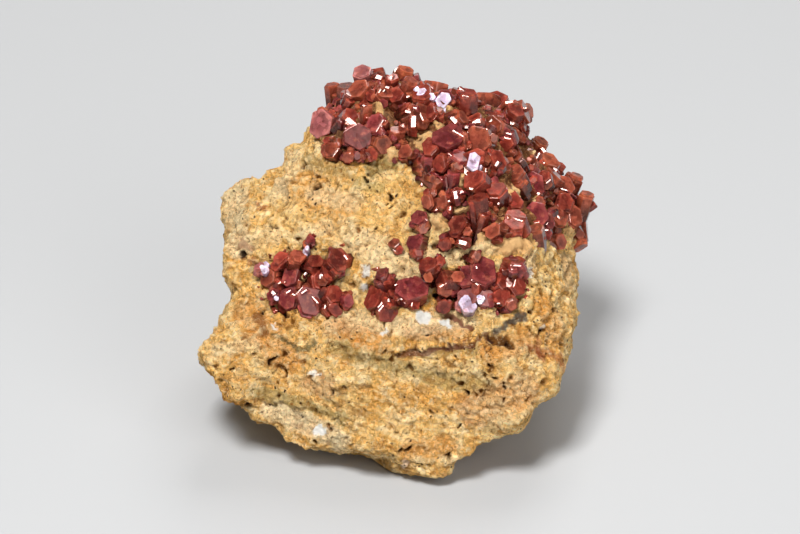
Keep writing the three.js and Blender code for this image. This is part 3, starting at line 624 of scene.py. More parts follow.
# Two cracks of the rock's front, which are both cut and coloured
LEDGE_CRACK = [(7.0, -6.9), (8.6, -8.0), (10.8, -9.2)]
LOWER_CRACK = [(13.2, -10.8), (13.6, -14.4), (12.9, -17.4), (12.0, -19.8)]

# Ledges of the rock's front as the camera sees them: a line drawn from left to right, how
# far the rock drops back below it, and how far down that reaches. Past its ends a ledge
# fades over LEDGE_END.
ROCK_LEDGES = [
    ([(-0.5, -13.0), (3, -12.6), (7.7, -11.7), (10.8, -10.9), (13.4, -9.9)], 0.6, 2.0),
    ([(-19.6, -9.8), (-17.6, -10.2), (-16.2, -11.6), (-14.3, -12.0), (-12.6, -10.7)], 0.5, 0.9),
    ([(-21.6, -20.0), (-16.2, -20.6), (-11.1, -22.0), (-6.2, -24.4)], 0.6, 1.6),
    ([(-9.8, -11.8), (-5, -14.0), (1, -15.4), (6, -16.4)], 0.25, 1.6),
    ([(6, -15.6), (9.5, -17.8), (13.5, -18.6)], 0.3, 1.2),
    ([(-9.5, -6.9), (-4, -7.6), (3, -6.9), (9, -7.2), (14, -7.0)], 0.35, 1.2),
    ([(0.2, -26.9), (4, -27.2), (7.4, -28.2)], 0.35, 0.9),
]
LEDGE_END = 0.8

# Grooves and cracks of the rock's front: line, width and depth
ROCK_GROOVES = [
    ([(13.9, -10.3), (15.2, -10.8), (16.5, -11.6)], 0.55, 1.2),
    (LEDGE_CRACK, 0.35, 0.6), (LOWER_CRACK, 0.22, 0.5),
    ([(-18.2, -15.7), (-16.4, -14.6), (-14.8, -14.0)], 0.25, 0.5),
    ([(11.9, -20.5), (13.5, -18.2)], 0.25, 0.4), ([(-1.2, -8.6), (-1.5, -10.2)], 0.22, 0.4),
    ([(19.0, -8.5), (20.4, -10.4), (22.4, -11.2)], 0.25, 0.5),
]

# Pits, as right, up and radius; the near-black colour in them is painted shade
ROCK_PITS = [
    (-18.0, -6.5, 0.7), (-17.2, -7.0, 0.5), (-20.9, -6.5, 0.35), (5.3, -4.4, 0.5), (-14.7, 15.2, 0.5),
    (-12.7, 17.6, 0.4), (-19.1, -14.2, 0.45), (-18.5, -14.0, 0.3), (-25.6, -15.3, 0.3),
    (-25.0, -15.5, 0.25), (-23.1, -20.6, 0.45), (-17.4, -15.9, 0.4), (-10.1, -18.7, 0.28),
    (-10.7, -24.8, 0.35), (-12.5, -26.5, 0.25), (8.8, -23.9, 0.32), (0.1, -27.1, 0.35),
    (1.2, -27.5, 0.3), (7.1, -28.6, 0.4), (-0.9, -28.5, 0.25), (15.6, -17.7, 0.3),
    (15.6, -20.1, 0.28), (19.7, -20.3, 0.25), (9.9, -18.7, 0.22), (13.2, -15.0, 0.25),
    (14.2, -17.1, 0.35), (21.6, -9.7, 0.4), (23.4, -6.0, 0.3), (23.0, -2.8, 0.25),
    (16.5, -11.6, 0.25), (8.3, -13.8, 0.25), (4.2, -9.9, 0.25), (-21.9, -13.4, 0.25),
    (3.2, 18.8, 0.4), (1.0, 18.8, 0.3), (-4.8, 14.3, 0.22), (-3.4, 14.1, 0.22), (-5.7, 16.2, 0.25),
    (-19.4, 8.1, 0.3), (-18.9, 6.2, 0.4), (-23.5, 1.6, 0.5), (-13.8, 10.6, 0.2), (-12.5, 13.3, 0.22),
    (-10.7, 12.8, 0.16), (-9.3, 12.5, 0.18), (-10.9, 12.0, 0.14), (-5.2, 12.8, 0.3), (-4.4, 12.2, 0.2),
    (-6.1, 13.4, 0.18), (-1.8, 10.4, 0.28), (-2.4, 9.6, 0.2), (-1.5, 9.0, 0.18), (-6.9, 8.3, 0.16),
    (-8.1, 5.0, 0.25), (-7.6, 6.6, 0.18), (-12.0, 8.6, 0.16), (-15.8, 12.8, 0.2), (-16.6, 3.0, 0.2),
    (-3.5, 6.0, 0.3), (-9.7, 12.0, 0.2), (-12.6, 12.4, 0.25), (20.6, -2.6, 0.3), (19.8, -6.7, 0.3),
]
PIT_DEPTH = 1.2
# Painted shade inside the pits and in the groove below the main ledge
PAINTED_PIT_SHADE = (0.030, 0.013, 0.006)

# Lumps and dents at the edge of the rock, as right, up, radius and how far they stand out
ROCK_LUMPS = [
    (-18.6, 15.8, 1.6, -1.5), (-15.2, 19.4, 1.4, -1.1), (-20.4, 13.8, 1.2, -0.8),
    (-26.2, -5.5, 3.0, -0.8), (-27.8, -9.2, 1.5, -0.6), (-25.4, -19.8, 1.8, 1.3), (-22.0, -22.4, 1.5, 0.8),
    (-18.5, -24.2, 1.6, -0.9), (-15.2, -27.0, 1.6, -1.2), (-2.6, -29.6, 1.5, -1.2), (-0.4, -31.0, 1.0, -0.8),
    (22.6, -18.6, 2.2, 1.3), (17.6, -23.6, 2.2, 0.9), (8.9, -29.0, 1.4, -1.0), (-13.2, 17.6, 1.0, 0.5),
    (-23.6, 12.2, 1.4, 0.4), (-19.4, 14.8, 0.8, 0.4),
]

# Colours laid on the rock, stains and some painted shade under ledges and in hollows, each as a line, a
# width, a strength and a colour
CREAM = (1.0, 0.77, 0.44)
WHITE = (1.0, 0.97, 0.90)
GOLD = (0.96, 0.58, 0.19)
RUST = (0.66, 0.25, 0.045)
# Olive-brown painted shade under the ledges, and darker painted shadow under a lip
OLIVE_LEDGE_SHADE = (0.40, 0.29, 0.10)
DARK_LIP_SHADOW = (0.15, 0.13, 0.055)
ROSY = (0.66, 0.36, 0.19)
# Painted shadow in a line under the main ledge
LEDGE_SHADOW = (0.17, 0.050, 0.034)
RED_GRAINS = (0.34, 0.075, 0.030)
ROCK_STAINS_AND_SHADE = [
    ([(-24.6, 11.5), (-24.6, 7), (-24.2, 3)], 2.0, 0.6, (0.92, 0.74, 0.45)),
    ([(-8, 4.5), (-3.5, 2.5), (2, -1), (4.5, 1)], 2.6, 0.6, CREAM),
    ([(6.5, 1.0), (11, 3.2), (16, 3.6)], 1.4, 0.55, CREAM),
    ([(-10, -8), (-3, -8.7), (4, -8.5), (10, -7.6)], 1.7, 0.65, CREAM),
    ([(17, -1), (20, 1)], 1.3, 0.6, CREAM), ([(-22.5, 3.5), (-19, 5)], 1.6, 0.5, CREAM),
    ([(-19, -21.5), (-14, -23.8), (-9, -26)], 1.7, 0.55, (0.86, 0.73, 0.48)),
    ([(-27.5, -12.5), (-22, -11.5)], 1.2, 0.5, CREAM), ([(-8, 11), (1, 8)], 3.6, 0.5, GOLD),
    ([(-18, 9), (-10, 6)], 2.6, 0.4, GOLD), ([(-20.5, 6), (-20.5, 1)], 1.8, 0.4, GOLD),
    ([(-23, -7), (-17, -13.5)], 2.6, 0.5, RUST), ([(-9.5, -9.6), (-3, -11.2)], 1.8, 0.55, RUST),
    ([(13.5, -13), (19, -11)], 2.0, 0.5, RUST), ([(21.5, -5), (23.5, -11)], 1.5, 0.45, RUST),
    ([(1.5, -27.5), (7, -27)], 1.8, 0.45, RUST), ([(-15, 12), (-9, 9)], 2.6, 0.35, RUST),
    # Painted shade under the ledges, in an olive-brown tone
    ([(-10, -12), (-4, -14), (3, -16), (9, -17.6), (13, -18)], 1.3, 0.62, OLIVE_LEDGE_SHADE),
    ([(4, -12.9), (11, -12.2)], 0.9, 0.5, OLIVE_LEDGE_SHADE),
    ([(-21.5, -18.9), (-16, -20.0), (-9, -22.6)], 0.9, 0.65, OLIVE_LEDGE_SHADE),
    # Painted shadow under the lip
    ([(-19.5, -10.1), (-17.6, -10.7), (-16.2, -12.0), (-14.3, -12.4), (-12.8, -11.2)],
     0.35, 0.75, DARK_LIP_SHADOW), ([(-4.5, 14.6), (-0.8, 15.8)], 1.0, 0.7, (0.20, 0.16, 0.055)),
    ([(-13.5, 15.4), (-8, 14.2)], 1.4, 0.45, (0.30, 0.20, 0.07)),
    ([(11, -21.5), (18, -18.5)], 3.0, 0.4, ROSY), ([(-13.5, -17.6), (-11, -18)], 1.8, 0.4, ROSY),
    ([(2, -10), (9, -9.8)], 1.3, 0.4, ROSY), ([(24.6, 1.5), (25.2, -3)], 0.9, 0.4, (0.5, 0.43, 0.30)),
    ([(-21.3, -7.2), (-20.6, -9.8)], 0.7, 0.65, (0.22, 0.070, 0.025)),
    ([(-24.0, 4.0), (-22.6, 3.0)], 0.6, 0.5, RED_GRAINS),
    ([(-20.8, 9.0), (-20.2, 8.8)], 0.5, 0.7, RED_GRAINS),
    ([(-18.2, 12.6), (-17.2, 11.6)], 0.8, 0.6, (0.36, 0.17, 0.05)),
    ([(-22.4, 0.8), (-21.4, 0.4)], 0.5, 0.6, RED_GRAINS),
    ([(-6.5, 12.6), (-3.2, 12.0)], 0.9, 0.45, (0.40, 0.32, 0.11)), ([(-13, 11), (-7, 10)], 1.6, 0.5, CREAM),
    ([(-16, 16.5), (-18, 11)], 1.2, 0.5, CREAM), ([(-11, 6), (-15, 4.5)], 1.2, 0.5, CREAM),
    # Painted shadow under the main ledge
    ([(-0.5, -13.3), (3, -12.9), (7.7, -12.0), (10.8, -11.2), (13.4, -10.2)], 0.42, 0.8, LEDGE_SHADOW),
    (LEDGE_CRACK, 0.42, 0.8, (0.26, 0.060, 0.035)),
    ([(19.5, -12), (22.4, -12.6), (25, -15.7)], 0.7, 0.6, RED_GRAINS),
    ([(20.8, -10.4), (21.4, -13.6)], 0.45, 0.6, RED_GRAINS),
    ([(14.4, -9.4), (16.2, -8.6), (18.3, -7.3)], 0.55, 0.84, (0.060, 0.062, 0.066)),
    # Painted shade in the groove below the main ledge
    ([(13.9, -10.4), (15.2, -10.9), (16.5, -11.7)], 0.55, 0.8, PAINTED_PIT_SHADE),
    (LOWER_CRACK, 0.16, 0.8, (0.09, 0.035, 0.012)),
    ([(-5.2, -0.5)], 0.9, 0.85, WHITE), ([(-5.7, -3.0)], 0.65, 0.9, WHITE),
    ([(3.2, -7.2), (4.1, -7.7)], 0.75, 0.98, WHITE), ([(6.4, -8.0), (7.2, -8.5)], 0.55, 0.98, WHITE),
    ([(-12.5, -24.6), (-12.0, -24.3)], 0.6, 0.98, WHITE), ([(19.4, -0.8)], 0.6, 0.7, WHITE),
    ([(-13.9, -16.0), (-12.6, -16.4)], 0.35, 0.8, WHITE), ([(-2.3, -9.5)], 0.5, 0.85, WHITE),
    ([(-18.9, -9.0)], 0.4, 0.8, WHITE), ([(21.5, -9.0)], 0.4, 0.6, WHITE),
    ([(0.5, -29.9)], 0.9, 0.6, (0.90, 0.70, 0.56)), ([(8.3, 12.6), (9.6, 13.4)], 0.9, 0.6, CREAM),
    ([(9.2, 8.6), (9.4, 7.0)], 0.6, 0.6, CREAM), ([(24.8, 7.8), (25.2, 5.6)], 0.6, 0.7, (0.72, 0.45, 0.13)),
]

# Where crystals grown together cover the rock: as the camera sees it, behind the ridge as
# [across, back] above a height, and on the right flank as [back, height] beyond a place
DRUSE_AREA = [
    (-12.2, 19.8), (-9.5, 23), (-4.5, 27), (1.2, 27.4), (6.5, 24.8), (12, 23.8), (17.8, 22.8),
    (20, 18.2), (24.6, 12.2), (26.6, 8), (25, 4.6), (20.5, 3.6), (18.5, 5), (13.2, 5.4),
    (10.2, 2.8), (6, 2.6), (8.4, 6), (5.6, 7.6), (4.0, 9.6), (5.4, 11), (3.6, 13), (1.6, 15.2),
    (-2.2, 16.6), (-6.0, 15.8), (-11.2, 16.2),
]
RIDGE_AREA = [(-12, 9), (-12, 15), (-7, 18.6), (-2, 20.1), (5, 21.1), (13, 21.1), (18.5, 19.1), (21, 11)]
RIDGE_BOTTOM = 36
FLANK_AREA = [(8, 27), (10, 21.5), (14, 18.5), (17, 15.6), (20.5, 16.4), (21, 24), (19.5, 33), (10, 36)]
FLANK_START = 19

# How many small crystals are tried at random in the first area and in each of the others,
# and a height above the whole rock and a place beside it, where rays to it start
DRUSE_COUNT = 400
UNSEEN_COUNT = 130
ABOVE_ROCK = 60
BESIDE_ROCK = 50

# Windows in the druse where the bare rock stands out between the crystals: right, up, radius
BARE_WINDOWS = [
    (-3.2, 23.7, 0.7), (-1.3, 17.4, 1.2), (3.7, 18.6, 1.5), (7.4, 23.6, 0.7), (6.0, 21.0, 0.7),
    (9.0, 12.9, 0.9), (9.3, 8.4, 0.7), (6.0, 6.8, 1.2), (17.0, 11.4, 1.2), (16.0, 3.6, 1.6),
    (25.1, 6.6, 0.8), (12.9, 12.2, 0.6), (18.4, 3.0, 1.2), (11.4, 10.3, 0.6), (20.1, 10.0, 0.45),
    (19.6, 16.3, 0.45), (25.0, 5.2, 0.6), (12.2, 4.3, 0.6), (9.0, 16.6, 0.4),
]

# How much of the rock's colour the crust, a stain with painted shade between the crystals,
# hides, and how far a window's rock stands out and what its colour is
CRUST_SHARE = 0.9
WINDOW_HEIGHT = 1.1
WINDOW_COLOUR = (0.93, 0.54, 0.22)


def inside_outline(places, outline):
    inside = np.zeros(len(places), bool)
    for (ax, ay), (bx, by) in zip(outline, outline[1:] + outline[:1]):
        crosses = (ay > places[:, 1]) != (by > places[:, 1])
        inside ^= crosses & (places[:, 0] < (bx - ax) * (places[:, 1] - ay) / (by - ay + 1e-12) + ax)
    return inside


def between(start, end, share):
    return start + (end - start) * share


def layered(place):
    """How far the broken edges of the rock's layers stand out: each layer keeps its own
    relief up to the next one."""
    bed = place.z + LAYER_DIP * place.x + LAYER_BEND * place.x ** 2
    for height, length in LAYER_WAVES:
        bed += height * noise.noise(place / length)
    layer, across = divmod(bed / LAYER_THICKNESS, 1)
    here, above = [noise.noise(Vector((place.x / 4, place.y / 4, 7.3 * k))) for k in (layer, layer + 1)]
    return between(here, above, min(max((across - 0.78) / 0.22, 0), 1))


def crumbs_at(place):
    return math.sqrt(abs(noise.noise(place))) - 0.45


def rock_relief(place):
    """How far a point of the rock stands out from its natural roughness: all of it, and
    its fine part alone."""
    warp = noise.noise_vector(place / 2.7)
    lumps = LUMP_HEIGHT * noise.fractal(place / LUMP_SPACING, 0.9, 2.1, 3)
    layers_share = min(max((LAYERS_END - place.z) / LAYERS_FADE + 0.6 * noise.noise(place / 7), 0), 1)
    crumbs = between(*CRUMB_HEIGHTS, layers_share) * crumbs_at(place / CRUMB_SPACING + 0.6 * warp)
    small_height = between(*SMALL_CRUMB_HEIGHTS, layers_share)
    small_crumbs = small_height * crumbs_at(place / SMALL_CRUMB_SPACING + warp)
    grit = GRIT_HEIGHT * noise.fractal(place / GRIT_SPACING + warp, 0.6, 2.1, 3)
    fine = crumbs + small_crumbs + grit + layers_share * LAYER_HEIGHT * layered(place)
    uneven = place + 0.5 * warp + 0.4 * noise.noise_vector(place / 0.7)
    vug_distances, vug_points = noise.voronoi(uneven / VUG_SPACING)
    if noise.cell(vug_points[0] * 7.3) < 0.12 + 0.8 * noise.noise(place / 8 + Vector((5, 0, 0))):
        fine -= VUG_DEPTH * max(0.0, 1 - (vug_distances[0] / VUG_REACH) ** 2)
    return lumps + fine, fine


def broken_blocks(place):
    """How far a point of the rock's far side stands out: it broke along flat blocks, with
    a crease between each two."""
    bent = place / BLOCK_SPACING + 0.25 * noise.noise_vector(place / 3)
    distances, points = noise.voronoi(bent)
    crease = max(0.0, 1 - (distances[1] - distances[0]) / CREASE_REACH)
    swell = 0.8 * noise.fractal(place / 9, 0.9, 2.1, 3)
    return BLOCK_STEP * noise.noise(points[0] * 3.1) + swell - BLOCK_CREASE * crease


def ragged_shift(place):
    """How far the outline of a mark is moved about at a point of the rock."""
    return 0.75 * noise.noise_vector(place / 1.5) + 0.4 * noise.noise_vector(place / 0.55)


def away_from(seen, right, up):
    """How far places are from one place."""
    return np.linalg.norm(seen - np.array([right, up]), axis=1)


def drop_below_ledges(seen):
    """How far the rock's front drops back below its ledges."""
    dropped = np.zeros(len(seen))
    for line, depth, reach in ROCK_LEDGES:
        away, side, beyond = beside_line(seen, line)
        dropped += np.where(side < 0, depth * np.exp(-away / reach - (beyond / LEDGE_END) ** 2), 0)
    return dropped


def marks(seen):
    """How far the grooves, pits and bare windows of the rock's front stand out."""
    raised = np.zeros(len(seen))
    for line, width, depth in ROCK_GROOVES:
        away, _, _ = beside_line(seen, line)
        raised -= depth * np.exp(-1.6 * (away / width) ** 2)
    for right, up, radius in ROCK_PITS:
        raised -= PIT_DEPTH * np.clip(1.3 - (away_from(seen, right, up) / radius) ** 2, 0, 1)
    for right, up, radius in BARE_WINDOWS:
        raised += WINDOW_HEIGHT * np.exp(-0.8 * (away_from(seen, right, up) / radius) ** 2)
    return raised


def rock_mesh():
    """The rock as an even mesh, finer on the side that the camera sees."""
    bm = remeshed(solid_mesh("matrix"), ROCK_VOXEL, ROCK_SMOOTHING)
    bm.normal_update()
    front = [face for face in bm.faces if face.normal.dot(TO_EYE) > FRONT_START]
    edges = {edge for face in front for edge in face.edges}
    bmesh.ops.subdivide_edges(bm, edges=list(edges), cuts=1, use_grid_fill=True)
    bm.normal_update()
    return bm


def shape_rock(bm):
    """Gives the rock its relief and its marks. Returns what its material reads at each
    point: its height, which becomes painted shade in hollows and painted light on tops, the
    share of the crust, a stain with painted shade between the crystals, and the share and
    colour of the stains and painted shade laid on it."""
    points = [vert.co.copy() for vert in bm.verts]
    places = np.array(points)
    normals = np.array([vert.normal for vert in bm.verts])
    turned = normals @ np.array(TO_EYE)
    in_view = np.clip(4 * turned, 0, 1)
    near_view = np.clip(4 * turned + 2.5, 0, 1)
    behind = np.clip(-3 * turned - 0.3, 0, 1)
    relief, fine = np.array([rock_relief(point) for point in points]).T
    blocks = np.array([broken_blocks(point) for point in points])
    seen = seen_at(places)
    seen_ragged = seen + np.array([ragged_shift(point) for point in points])[:, :2]
    marked = marks(seen_ragged)
    front = marked - drop_below_ledges(seen_ragged)
    swollen = np.zeros(len(places))
    for right, up, radius, rise in ROCK_LUMPS:
        swollen += rise * np.exp(-(away_from(seen, right, up) / radius) ** 2)
    moved = relief + front * in_view + swollen * near_view + blocks * behind
    moved *= np.clip(places[:, 2] / LEVEL_FACE_FADE, 0, 1)
    places += normals * moved[:, None]
    places[:, 2] = np.maximum(places[:, 2], 0)
    for vert, place in zip(bm.verts, places):
        vert.co = place
    broad = behind * [noise.fractal(Vector(place) / 11, 0.8, 2.1, 3) for place in places]
    share, tint = stains_and_shade(seen_ragged, in_view, broad)
    return {
        # The height, which the material turns into painted shade in hollows and painted light on tops
        "height": np.clip(MIDDLE_HEIGHT + HEIGHT_SHARE * (fine + np.minimum(marked, 0) * in_view), 0, 1),
        # The crust: a stain under the druse, with painted shade between its crystals
        "crust_stain_and_shade": CRUST_SHARE * under_druse(places, seen_ragged, in_view),
        "tint_share": share,
        "tint": tint,
    }


def make_rock(material):
    bm = rock_mesh()
    layers = shape_rock(bm)
    bmesh.ops.triangulate(bm, faces=bm.faces)
    rock = object_from("ochre_matrix", bm)
    rock.data.polygons.foreach_set("use_smooth", [True] * len(rock.data.polygons))
    for name, values in layers.items():
        kind, key = ("FLOAT_COLOR", "color") if name == "tint" else ("FLOAT", "value")
        layer = rock.data.attributes.new(name, kind, "POINT")
        layer.data.foreach_set(key, values.astype(np.float32).ravel())
    rock.data.materials.append(material)
    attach(rock, "root")
    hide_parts("matrix")


def under_druse(places, seen, in_view):
    """Which places the druse's crystals have grown over."""
    covered = inside_outline(seen, DRUSE_AREA) & (in_view > 0)
    for right, up, radius in BARE_WINDOWS:
        covered &= away_from(seen, right, up) > radius
    ridge = inside_outline(places[:, :2], RIDGE_AREA) & (places[:, 2] > RIDGE_BOTTOM)
    flank = inside_outline(places[:, 1:], FLANK_AREA) & (places[:, 0] > FLANK_START)
    return covered | ridge | flank


def stains_and_shade(seen, in_view, broad):
    """The colours laid on the rock, stains and some painted shade, as their share and their
    mixture at each place. The far side is rusty or pale where its broad pattern is high or low."""
    tint = np.zeros((len(seen), 4))
    tint[:, 3] = 1
    share = np.zeros(len(seen))

    def lay(weight, colour):
        """Lays a colour over the ones so far."""
        nonlocal share
        total = weight + share * (1 - weight)
        part = (weight / np.maximum(total, 1e-6))[:, None]
        tint[:, :3] = np.array(colour) * part + tint[:, :3] * (1 - part)
        share = total

    lay(np.clip(1.8 * broad, 0, 0.6), RUST)
    lay(np.clip(-1.8 * broad, 0, 0.55), CREAM)
    for line, width, strength, colour in ROCK_STAINS_AND_SHADE:
        away, _, _ = beside_line(seen, line)
        edge = 2.0 if width < 1 else 1.2
        lay(in_view * np.clip(strength * edge * (1.25 - (away / width) ** 2), 0, strength), colour)
    for right, up, radius in BARE_WINDOWS:
        away = away_from(seen, right, up)
        lay(in_view * np.clip(1.8 - (away / radius) ** 2, 0, 0.85), WINDOW_COLOUR)
    # Painted shade inside the pits
    for right, up, radius in ROCK_PITS:
        away = away_from(seen, right, up)
        lay(in_view * np.clip(2.4 - 2 * (away / radius) ** 2, 0, 0.95), PAINTED_PIT_SHADE)
    return share, tint


def random_direction(rng):
    return Vector([rng.gauss(0, 1) for _ in range(3)]).normalized()


def in_window(right, up):
    """Whether the bare rock stands out between the crystals at a place."""
    return any(math.hypot(right - x, up - y) < radius for x, y, radius in BARE_WINDOWS)


def side_of(axis, turn):
    """A direction square to an axis."""
    first = axis.orthogonal().normalized()
    return first * math.cos(turn) + axis.cross(first) * math.sin(turn)


def sight(right, up, trees):
    """Where the camera sees the nearest of some surfaces at a place, or the point of that
    line of sight that comes nearest to one, and whether the line meets any of them."""
    way = (picture_point(right, up) - EYE).normalized()
    hits = [hit for hit, _, _, _ in (tree.ray_cast(EYE, way) for tree in trees) if hit is not None]
    if hits:
        return min(hits, key=lambda hit: (hit - EYE).length), True
    probes = [EYE + way * (EYE_DISTANCE + step) for step in range(-PROBE_REACH, PROBE_REACH)]
    return min(probes, key=lambda p: min(tree.find_nearest(p)[3] for tree in trees)), False


class Crystals:
    """Collects the crystals of one cluster in one mesh."""

    def __init__(self, name, rock_tree, seed):
        self.name = name
        self.bm = bmesh.new()
        # Vertex colours: the body colour, with painted glow along the edges and painted shade towards the
        # roots
        self.colour = self.bm.verts.layers.float_color.new("crystal_colour_glow_and_shade")
        self.rock_tree = rock_tree
        self.random = random.Random(seed)

    def ring(self, offsets, inset, bevel, fine):
        """The points of one hexagonal section, side by side: the two ends of each side,
        set in from its corners by a bevel, and on a fine one its middle. Each point comes
        with whether it lies at a corner."""
        points = []
        for i in range(6):
            corners = []
            for j in (i - 1, i):
                a = j * math.pi / 3
                b = a + math.pi / 3
                near = offsets[j % 6] - inset
                far = offsets[(j + 1) % 6] - inset
                x = (near * math.sin(b) - far * math.sin(a)) / math.sin(b - a)
                y = (far * math.cos(a) - near * math.cos(b)) / math.sin(b - a)
                corners.append(Vector((x, y, 0)))
            side = corners[1] - corners[0]
            cut = min(bevel / side.length, 0.3)
            shares = (cut, 0.5, 1 - cut) if fine else (cut, 1 - cut)
            points += [(corners[0] + side * share, share in (shares[0], shares[-1])) for share in shares]
        return points

    def sections(self, radius, length, bevel, fine):
        """A crystal's sections from its foot to its end face, with up to two steps in its
        sides when fine: how high each lies from the end face, how far it is set in, and how
        much of the edge colour it has."""
        rng = self.random
        sections = [(-length, 0.1 * radius, FOOT_SHARE), (-0.6 * length, 0, FOOT_SHARE)]
        inset = 0.0
        if fine:
            sections.append((-min(0.55 * radius, 0.5 * length), 0, FOOT_SHARE))
            drops = [rng.uniform(0.15, 0.5) for _ in range(rng.randint(0, 2))]
            for drop in sorted(drops, reverse=True):
                width = rng.uniform(0.04, 0.12)
                sections.append((-drop * radius, inset, EDGE_SHARE))
                inset += width
                sections.append((-drop * radius + 0.3 * width, inset, EDGE_SHARE))
        sections.append((-bevel, inset, EDGE_SHARE))
        sections.append((0, inset + bevel, EDGE_SHARE))
        if fine:
            sections.append((0, inset + bevel + 0.34 * radius, HEART_SHARE))
        return sections

    def add(
        self, top, axis, side, radius, length, kind,
        fine=True, even=False, bevel=CRYSTAL_BEVEL, squash=CRYSTAL_SQUASH,
    ):
        """A hexagonal crystal with the middle of its end face at top. Its first side faces
        the given way, square to the axis, and an even one has that side at its radius."""
        rng = self.random
        offsets = [radius * rng.uniform(0.86, 1.12) for _ in range(6)]
        flat = rng.randint(1, 2)
        for i in (flat, flat + 3):
            offsets[i] *= rng.uniform(squash, 1)
        if even:
            offsets[0] = radius
        # The deep colour is the body; the edge colour is a painted glow of light through thin edges
        deep, edge = CRYSTAL_COLOURS[kind]
        shade = rng.uniform(0.6, 1.25)
        sections = self.sections(radius, length, min(bevel, 0.2 * radius), fine)
        turned = Matrix((side, axis.cross(side), axis)).transposed()
        heart = Vector((rng.uniform(-0.3, 0.3), rng.uniform(-0.3, 0.3), 0)) * radius
        rings = []
        for height, inset, edge_share in sections:
            ring = []
            shift = heart if edge_share == HEART_SHARE else Vector()
            # Painted shade: darker towards the root, down to DARKEST_ROOT
            depth = -(height + 0.45 * radius) / length
            light = shade * min(max(1 - ROOT_SHADE * depth, DARKEST_ROOT), 1)
            for point, at_corner in self.ring(offsets, inset, 0.06 * radius, fine):
                vert = self.bm.verts.new(top + turned @ (point + shift) + axis * height)
                share = edge_share if at_corner else SIDE_SHARE * edge_share
                vert[self.colour] = (*[light * (d + (e - d) * share) for d, e in zip(deep, edge)], 1)
                ring.append(vert)
            rings.append(ring)
        for low, high in zip(rings, rings[1:]):
            for i in range(len(low)):
                j = (i + 1) % len(low)
                self.bm.faces.new((low[i], low[j], high[j], high[i]))
        self.bm.faces.new(rings[-1])
        self.bm.faces.new(list(reversed(rings[0])))

    def grow(self, middle, axis, radius, length, turn, kind):
        """A crystal with the smaller ones that grew along with it: beside it
        on the same axis, and across it around its foot."""
        rng = self.random
        top = middle + axis * (0.5 * length)
        side = side_of(axis, turn)
        self.add(top, axis, side, radius, length + ROOT, kind)
        for _ in range(rng.choice((0, 1, 1, 2))):
            way = side_of(axis, rng.uniform(0, 2 * math.pi))
            lower = top + way * (radius * rng.uniform(0.5, 0.85)) - axis * (radius * rng.uniform(0.1, 0.7))
            tilted = (axis + 0.12 * random_direction(rng)).normalized()
            level = (side - tilted * side.dot(tilted)).normalized()
            self.add(lower, tilted, level, radius * rng.uniform(0.4, 0.7), length + 0.5 * ROOT, kind)
        for _ in range(rng.choice((2, 3, 4))):
            way = side_of(axis, rng.uniform(0, 2 * math.pi))
            tilted = (way * rng.uniform(0.1, 0.8) + axis + 0.5 * random_direction(rng)).normalized()
            small = rng.uniform(0.4, 0.8) * min(radius, 1.3)
            tip = middle + way * (radius * rng.uniform(0.75, 1.1)) + tilted * rng.uniform(0.1, 0.9)
            if not in_window(*seen_at(np.array([tip]))[0]):
                level = side_of(tilted, rng.uniform(0, 1))
                self.add(tip, tilted, level, small, length, rng.choice(COMMON_KINDS))

    def grow_seen(self, right, up, radius, length, lean_right, lean_up, turn, kind):
        point, on_rock = sight(right, up, [self.rock_tree])
        to_eye = math.sqrt(max(1 - lean_right ** 2 - lean_up ** 2, 0.01))
        axis = (RIGHT * lean_right + UP * lean_up + TO_EYE * to_eye).normalized()
        middle = point + TO_EYE * (CRYSTAL_LIFT if on_rock else 0)
        self.grow(middle, axis, radius, length, math.radians(turn), kind)

    def grow_unseen(self, start, way, radius):
        """A crystal on the side of the rock that a ray meets, with small ones around it."""
        rng = self.random
        hit, normal, _, _ = self.rock_tree.ray_cast(start, way)
        axis = (normal + UNSEEN_TILT * random_direction(rng)).normalized()
        middle = hit + normal * UNSEEN_LIFT
        self.grow(middle, axis, radius, UNSEEN_LENGTH, rng.uniform(0, 1), rng.choice(COMMON_KINDS))

    def strew(self, rows, count):
        """Small crystals at random on the rock around the listed ones."""
        rng = self.random
        for _ in range(count):
            right, up, radius = rng.choice(rows)[:3]
            way = rng.uniform(0, 2 * math.pi)
            away = radius + rng.uniform(0.2, 1.3)
            place, on_rock = sight(right + away * math.cos(way), up + away * math.sin(way), [self.rock_tree])
            if on_rock:
                self.add_small(place, TO_EYE, rng.uniform(0.2, 0.42), 0.3)

    def add_small(self, hit, normal, radius, height):
        rng = self.random
        axis = (normal + 0.8 * random_direction(rng)).normalized()
        top = hit + axis * (height * rng.uniform(0.6, 1.4))
        side = side_of(axis, rng.uniform(0, 1))
        self.add(top, axis, side, radius, 2.6, rng.choice(COMMON_KINDS), fine=radius > 0.65)

    def add_frosted_sheen(self, right, up, radius, trees):
        """A few lilac crystals side by side, whose end faces nearly mirror the key light; their lilac-white
        is a painted reflection.
        """
        rng = self.random
        for share in (1, 0.65):
            away = 0 if share == 1 else radius * rng.uniform(0.7, 0.95)
            way = rng.uniform(0, 2 * math.pi)
            seen = (right + away * math.cos(way), up + away * math.sin(way))
            top = sight(*seen, trees)[0] + TO_EYE * GLINT_LIFT
            axis = (TO_GLINT + FROSTED_TILT * random_direction(rng)).normalized()
            self.add(top, axis, side_of(axis, rng.uniform(0, 1)), radius * share, 2.5, "frosted_painted_sheen", squash=0.6)

    def add_spot(self, right, up, size, trees):
        """A small four-cornered glint: a bar drawn at random around a place."""
        rng = self.random
        way = rng.uniform(0, math.pi)
        across = 0.5 * size * math.cos(way)
        along = 0.5 * size * math.sin(way)
        ends = (right - across, up - along, right + across, up + along)
        self.add_bar(*ends, size * rng.uniform(0.45, 0.8), trees)

